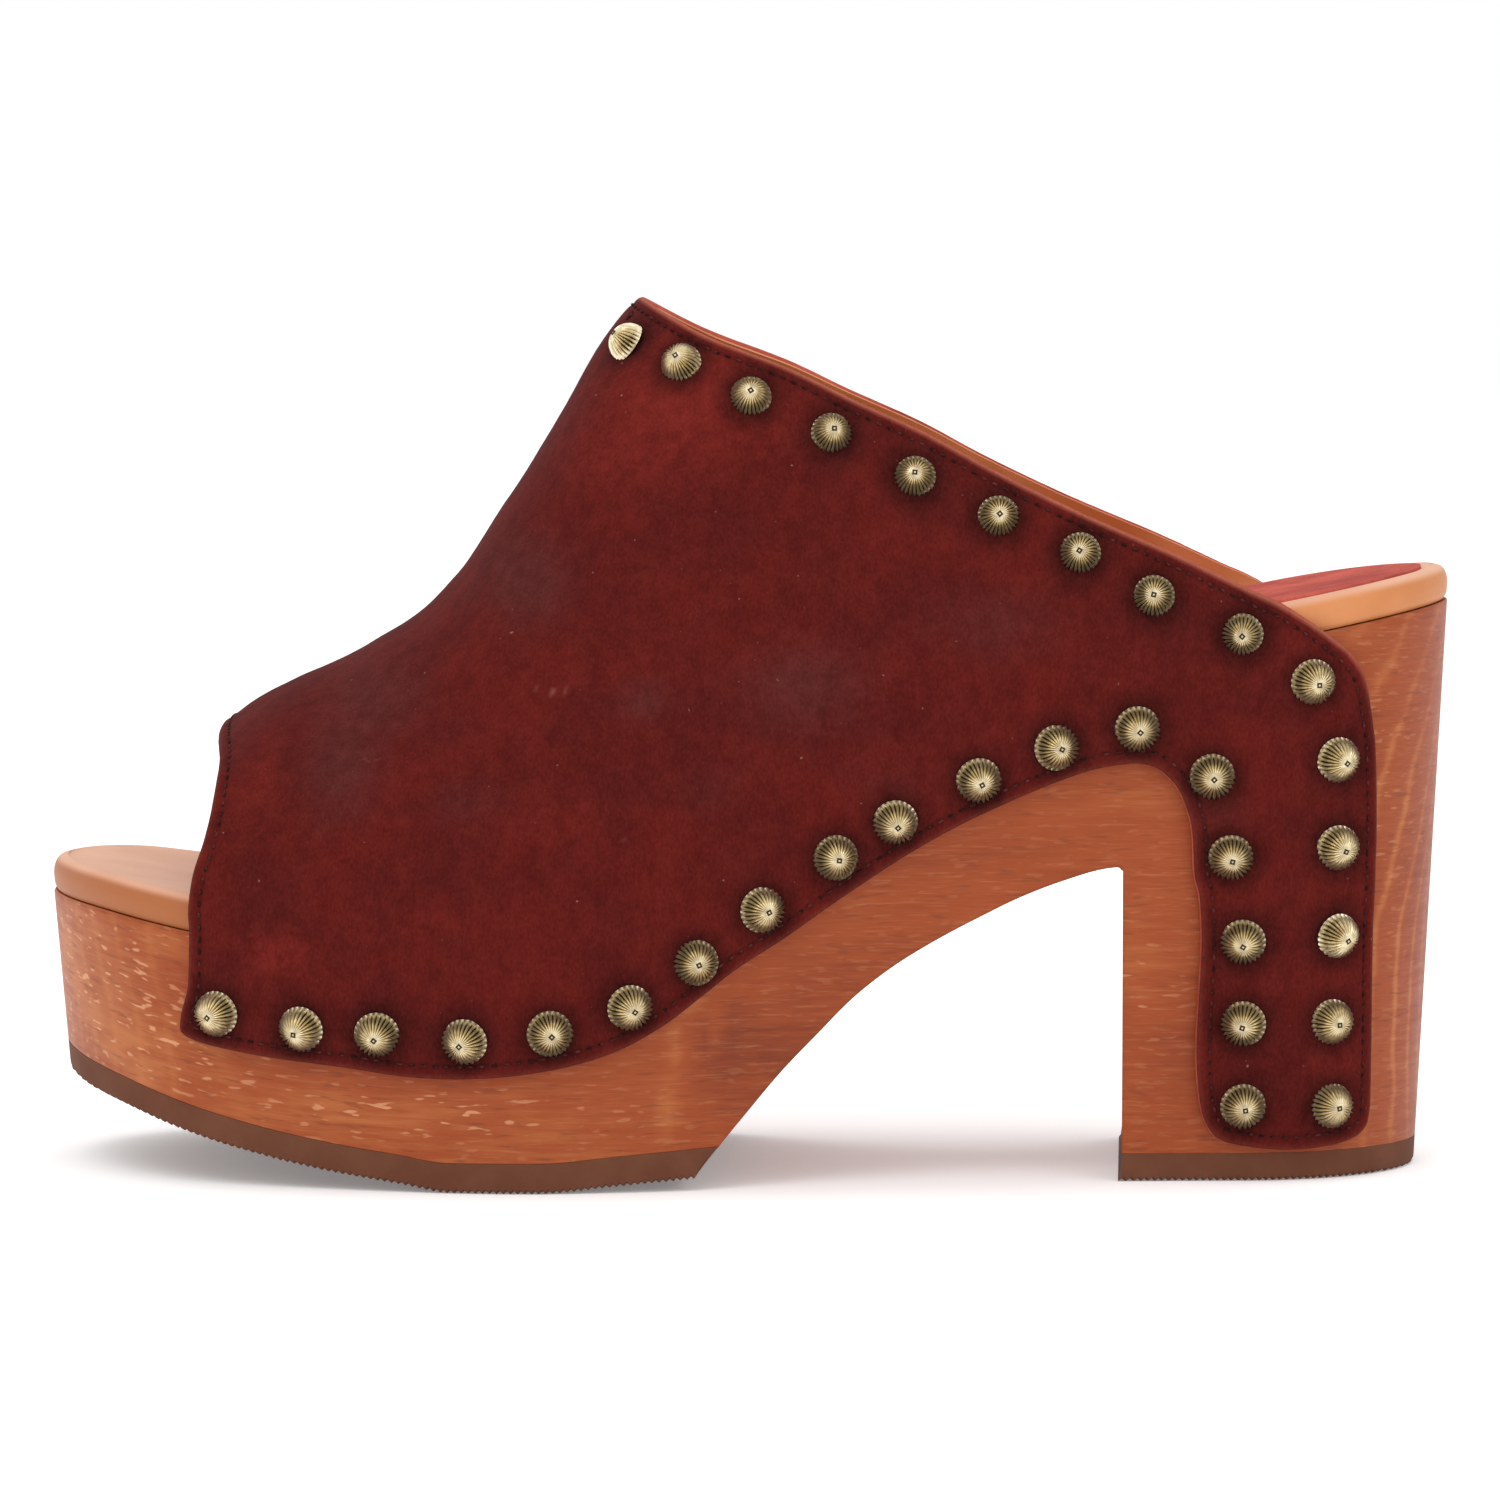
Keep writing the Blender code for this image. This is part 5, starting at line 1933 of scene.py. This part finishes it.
PRESSES = (Press(1, 0.42, 1.6), Press(2, 1.0, 0.70), Press(3, 0.42, 1.6))
TIP_MARKS = (TipMark(0.00060, 1.0, 0.0), TipMark(0.00020, 1.01, 0.4))


@dataclass(frozen=True)
class StudHead:
    """A domed, fluted stud head with a small square mark on its tip."""

    radius: float
    height: float = 0.0034
    flutes: int = 26
    rings: int = 20
    notch: float = 0.25
    smooth_tip: float = 0.12
    deepening: float = 1.25
    rim_shade: float = 0.35
    mark_depth: float = 0.08

    def model(self, name: str) -> bpy.types.Mesh:
        """Model the head with its back at the origin.

        Args:
            name: the mesh's name.

        Returns:
            The mesh.
        """
        bpy.ops.object.select_all(action="DESELECT")
        segments = 4 * self.flutes
        bpy.ops.mesh.primitive_uv_sphere_add(segments=segments, ring_count=self.rings, radius=self.radius)
        dome = bpy.context.object
        bpy.ops.object.mode_set(mode="EDIT")
        bpy.ops.mesh.select_all(action="SELECT")
        bpy.ops.mesh.bisect(plane_co=(0, 0, 1e-5), plane_no=(0, 0, 1), clear_inner=True, use_fill=True)
        bpy.ops.mesh.select_all(action="SELECT")
        stretch = self.height / self.radius
        bpy.ops.transform.resize(value=(1.0, 1.0, stretch), center_override=(0, 0, 0))
        bpy.ops.object.mode_set(mode="OBJECT")
        for press in PRESSES:
            self._press(dome, press)
        self._crest(dome.data)
        marks = [self._tip_mark(mark) for mark in TIP_MARKS]
        bpy.ops.object.select_all(action="DESELECT")
        for part in (*marks, dome):
            part.select_set(True)
        bpy.context.view_layer.objects.active = dome
        bpy.ops.object.join()
        mesh = dome.data.copy()
        mesh.name = name
        bpy.data.objects.remove(dome, do_unlink=True)
        mesh.shade_smooth()
        mesh.set_sharp_from_angle(angle=math.radians(55))
        return mesh

    def _press(self, dome: bpy.types.Object, press: Press) -> None:
        """Press one set of the dome's columns in, ring by ring, deeper towards the rim.

        Args:
            dome: the dome.
            press: the columns and how deep they go.
        """
        levels: dict[int, list[int]] = {}
        for vertex in dome.data.vertices:
            across = math.hypot(vertex.co.x, vertex.co.y)
            if across < self.smooth_tip * self.radius or vertex.co.z < THIN:
                continue
            column = round(math.atan2(vertex.co.y, vertex.co.x) / math.tau * 4 * self.flutes) % 4
            if column == press.column:
                levels.setdefault(round(vertex.co.z * 1e6), []).append(vertex.index)
        for indices in levels.values():
            for kind in (dome.data.vertices, dome.data.edges, dome.data.polygons):
                kind.foreach_set("select", [False] * len(kind))
            for index in indices:
                dome.data.vertices[index].select = True
            first = dome.data.vertices[indices[0]].co
            share = (math.hypot(first.x, first.y) / self.radius - self.smooth_tip) / (1.0 - self.smooth_tip)
            size = 1.0 - self.notch * press.depth * min(1.0, self.deepening * share) ** press.growth
            bpy.ops.object.mode_set(mode="EDIT")
            bpy.ops.transform.resize(value=(size, size, size), center_override=(0, 0, 0))
            bpy.ops.object.mode_set(mode="OBJECT")

    def _crest(self, mesh: bpy.types.Mesh) -> None:
        """Paint how far each place stands out of the flutes, less towards the rim.

        Args:
            mesh: the dome's mesh.
        """
        stretch = self.radius / self.height

        def stands(p: Vector) -> float:
            """1 on the dome and 0 in the bottom of a flute."""
            size = Vector((p.x, p.y, p.z * stretch)).length / self.radius
            rim = 1.0 - self.rim_shade * (math.hypot(p.x, p.y) / self.radius) ** 6
            return rim * min(1.0, max(0.0, (size - 1.0 + self.notch) / self.notch))

        paint(mesh, "crest", stands)

    def _tip_mark(self, mark: TipMark) -> bpy.types.Object:
        """A small square plate at the tip.

        Args:
            mark: its sizes.

        Returns:
            The plate.
        """
        bpy.ops.object.select_all(action="DESELECT")
        depth = self.height * self.mark_depth
        place = (0.0, 0.0, self.height * mark.top - depth / 2)
        bpy.ops.mesh.primitive_cylinder_add(vertices=4, radius=mark.radius, depth=depth, location=place)
        made = bpy.context.object
        bpy.ops.object.transform_apply(location=True, rotation=False, scale=False)
        paint(made.data, "crest", lambda _: mark.crest)
        return made


@dataclass(frozen=True)
class Studs:
    """All nails and rivets, each leaning a little its own way."""

    skin: Skin
    finish: Brass
    nail_radius: float = 0.00375
    rivet_radius: float = 0.0034
    seed: int = 11
    lean: float = 0.16
    lean_along: tuple[float, float] = (-0.8, 0.8)
    lean_up: tuple[float, float] = (-1.1, 0.1)
    sink: float = 0.00020

    def _placed(
        self, head: bpy.types.Mesh, mark: Mark, side: Side, chance: random.Random
    ) -> bpy.types.Mesh:
        """A copy of a head, standing at its mark.

        Args:
            head: the head's mesh.
            mark: its mark.
            side: outer or inner.
            chance: the source of its lean and turn.

        Returns:
            The mesh.
        """
        place, outward = self.skin.stud_seat(mark, side)
        lean = Vector((chance.uniform(*self.lean_along), 0.0, chance.uniform(*self.lean_up)))
        axis = (outward + lean * self.lean).normalized()
        turn = Vector((0.0, 0.0, 1.0)).rotation_difference(axis).to_matrix().to_4x4()
        spin = Matrix.Rotation(chance.uniform(0.0, math.tau), 4, "Z")
        made = head.copy()
        made.transform(Matrix.Translation(place - outward * self.sink) @ turn @ spin)
        return made

    def build(self) -> None:
        """Make every nail and every rivet as a piece of its own."""
        chance = random.Random(self.seed)
        material = self.finish.material()
        nail = StudHead(self.nail_radius).model("nail_head")
        rivet = StudHead(self.rivet_radius).model("rivet_head")
        for mesh in (nail, rivet):
            mesh.materials.clear()
            mesh.materials.append(material)
        for side in Side:
            name = side.name.lower()
            for number, mark in enumerate(NAILS, start=1):
                mesh = self._placed(nail, mark, side, chance)
                add_piece(f"nail_{name}_{number:02d}", mesh, [f"stud_{name}_{number:02d}"])
            for number, mark in enumerate(RIVETS, start=1):
                mesh = self._placed(rivet, mark, side, chance)
                add_piece(f"rivet_{name}_{number}", mesh)
        for mesh in (nail, rivet):
            bpy.data.meshes.remove(mesh)


@dataclass(frozen=True)
class Studio:
    """White floor, soft lights and the camera that looks at the outer side."""

    eye: Place = (0.00045, -1.15, 0.152)
    aim: Place = (0.00045, 0.0, 0.069)
    sensor: float = 36.0
    field: float = 0.25125
    floor_colour: Colour = (0.98, 0.98, 0.98)
    floor_glow: float = 0.18

    def _light(self, name: str, place: Place, aim: Place, size: float, watts: float) -> None:
        """A square soft light.

        Args:
            name: the light's name.
            place: where it is.
            aim: where it points.
            size: its width.
            watts: its power.
        """
        turn = (Vector(aim) - Vector(place)).to_track_quat("-Z", "Y").to_euler()
        bpy.ops.object.light_add(type="AREA", location=place, rotation=turn)
        light = bpy.context.object
        light.name = name
        light.data.size = size
        light.data.energy = watts

    def build(self) -> None:
        """Set up floor, world, lights and camera."""
        bpy.ops.object.select_all(action="DESELECT")
        bpy.ops.mesh.primitive_plane_add(size=12.0, location=(0.0, 0.0, 0.0))
        floor = bpy.context.object
        floor.name = "floor"
        graph = Graph("white_floor", 0.9, Specular_IOR_Level=0.0)
        graph.shader.inputs["Base Color"].default_value = (*self.floor_colour, 1.0)
        graph.shader.inputs["Emission Color"].default_value = (1.0, 1.0, 1.0, 1.0)
        graph.shader.inputs["Emission Strength"].default_value = self.floor_glow
        floor.data.materials.append(graph.material)
        world = bpy.data.worlds.new("studio")
        world.use_nodes = True
        world.node_tree.nodes["Background"].inputs["Color"].default_value = (1.0, 1.0, 1.0, 1.0)
        world.node_tree.nodes["Background"].inputs["Strength"].default_value = 1.0
        bpy.context.scene.world = world
        bpy.context.scene.view_settings.view_transform = "Standard"
        self._light("key", (-0.5, -0.9, 1.3), (0.0, 0.0, 0.05), 0.8, 5.0)
        self._light("fill", (0.9, -1.2, 0.6), (0.0, 0.0, 0.06), 0.9, 2.0)
        self._light("top", (0.1, 0.3, 1.5), (0.0, 0.0, 0.05), 1.0, 3.5)
        eye, aim = Vector(self.eye), Vector(self.aim)
        bpy.ops.object.camera_add(location=eye, rotation=(aim - eye).to_track_quat("-Z", "Y").to_euler())
        camera = bpy.context.object
        camera.data.sensor_width = self.sensor
        camera.data.lens = self.sensor * (aim - eye).length / self.field
        bpy.context.scene.camera = camera


def main() -> None:
    """Load the part, dress it and set the studio up."""
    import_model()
    skin = Skin()
    rubber = Rubber().material()
    CarvedSole().build(Alder())
    RubberSoles().forefoot(rubber)
    RubberSoles().heel(rubber)
    Bed().build(
        FootbedLeather(),
        Suede("rose_suede", (0.60, 0.125, 0.092), (0.40, 0.070, 0.055)),
    )
    upper = Upper(skin, Outline(skin))
    upper.build_leather(
        WornShadedSuede("oxblood_suede", (0.103, 0.0094, 0.0072), (0.072, 0.0076, 0.0066)),
        Suede("raw_edge", (0.50, 0.105, 0.066), (0.30, 0.045, 0.030)),
        SmoothLeather("tan_lining", (0.46, 0.13, 0.036), (0.60, 0.22, 0.085)),
    )
    upper.build_stitches(Thread())
    Studs(skin, Brass()).build()
    Studio().build()


if __name__ == "__main__":
    logging.basicConfig(level=logging.INFO, format="%(message)s")
    main()
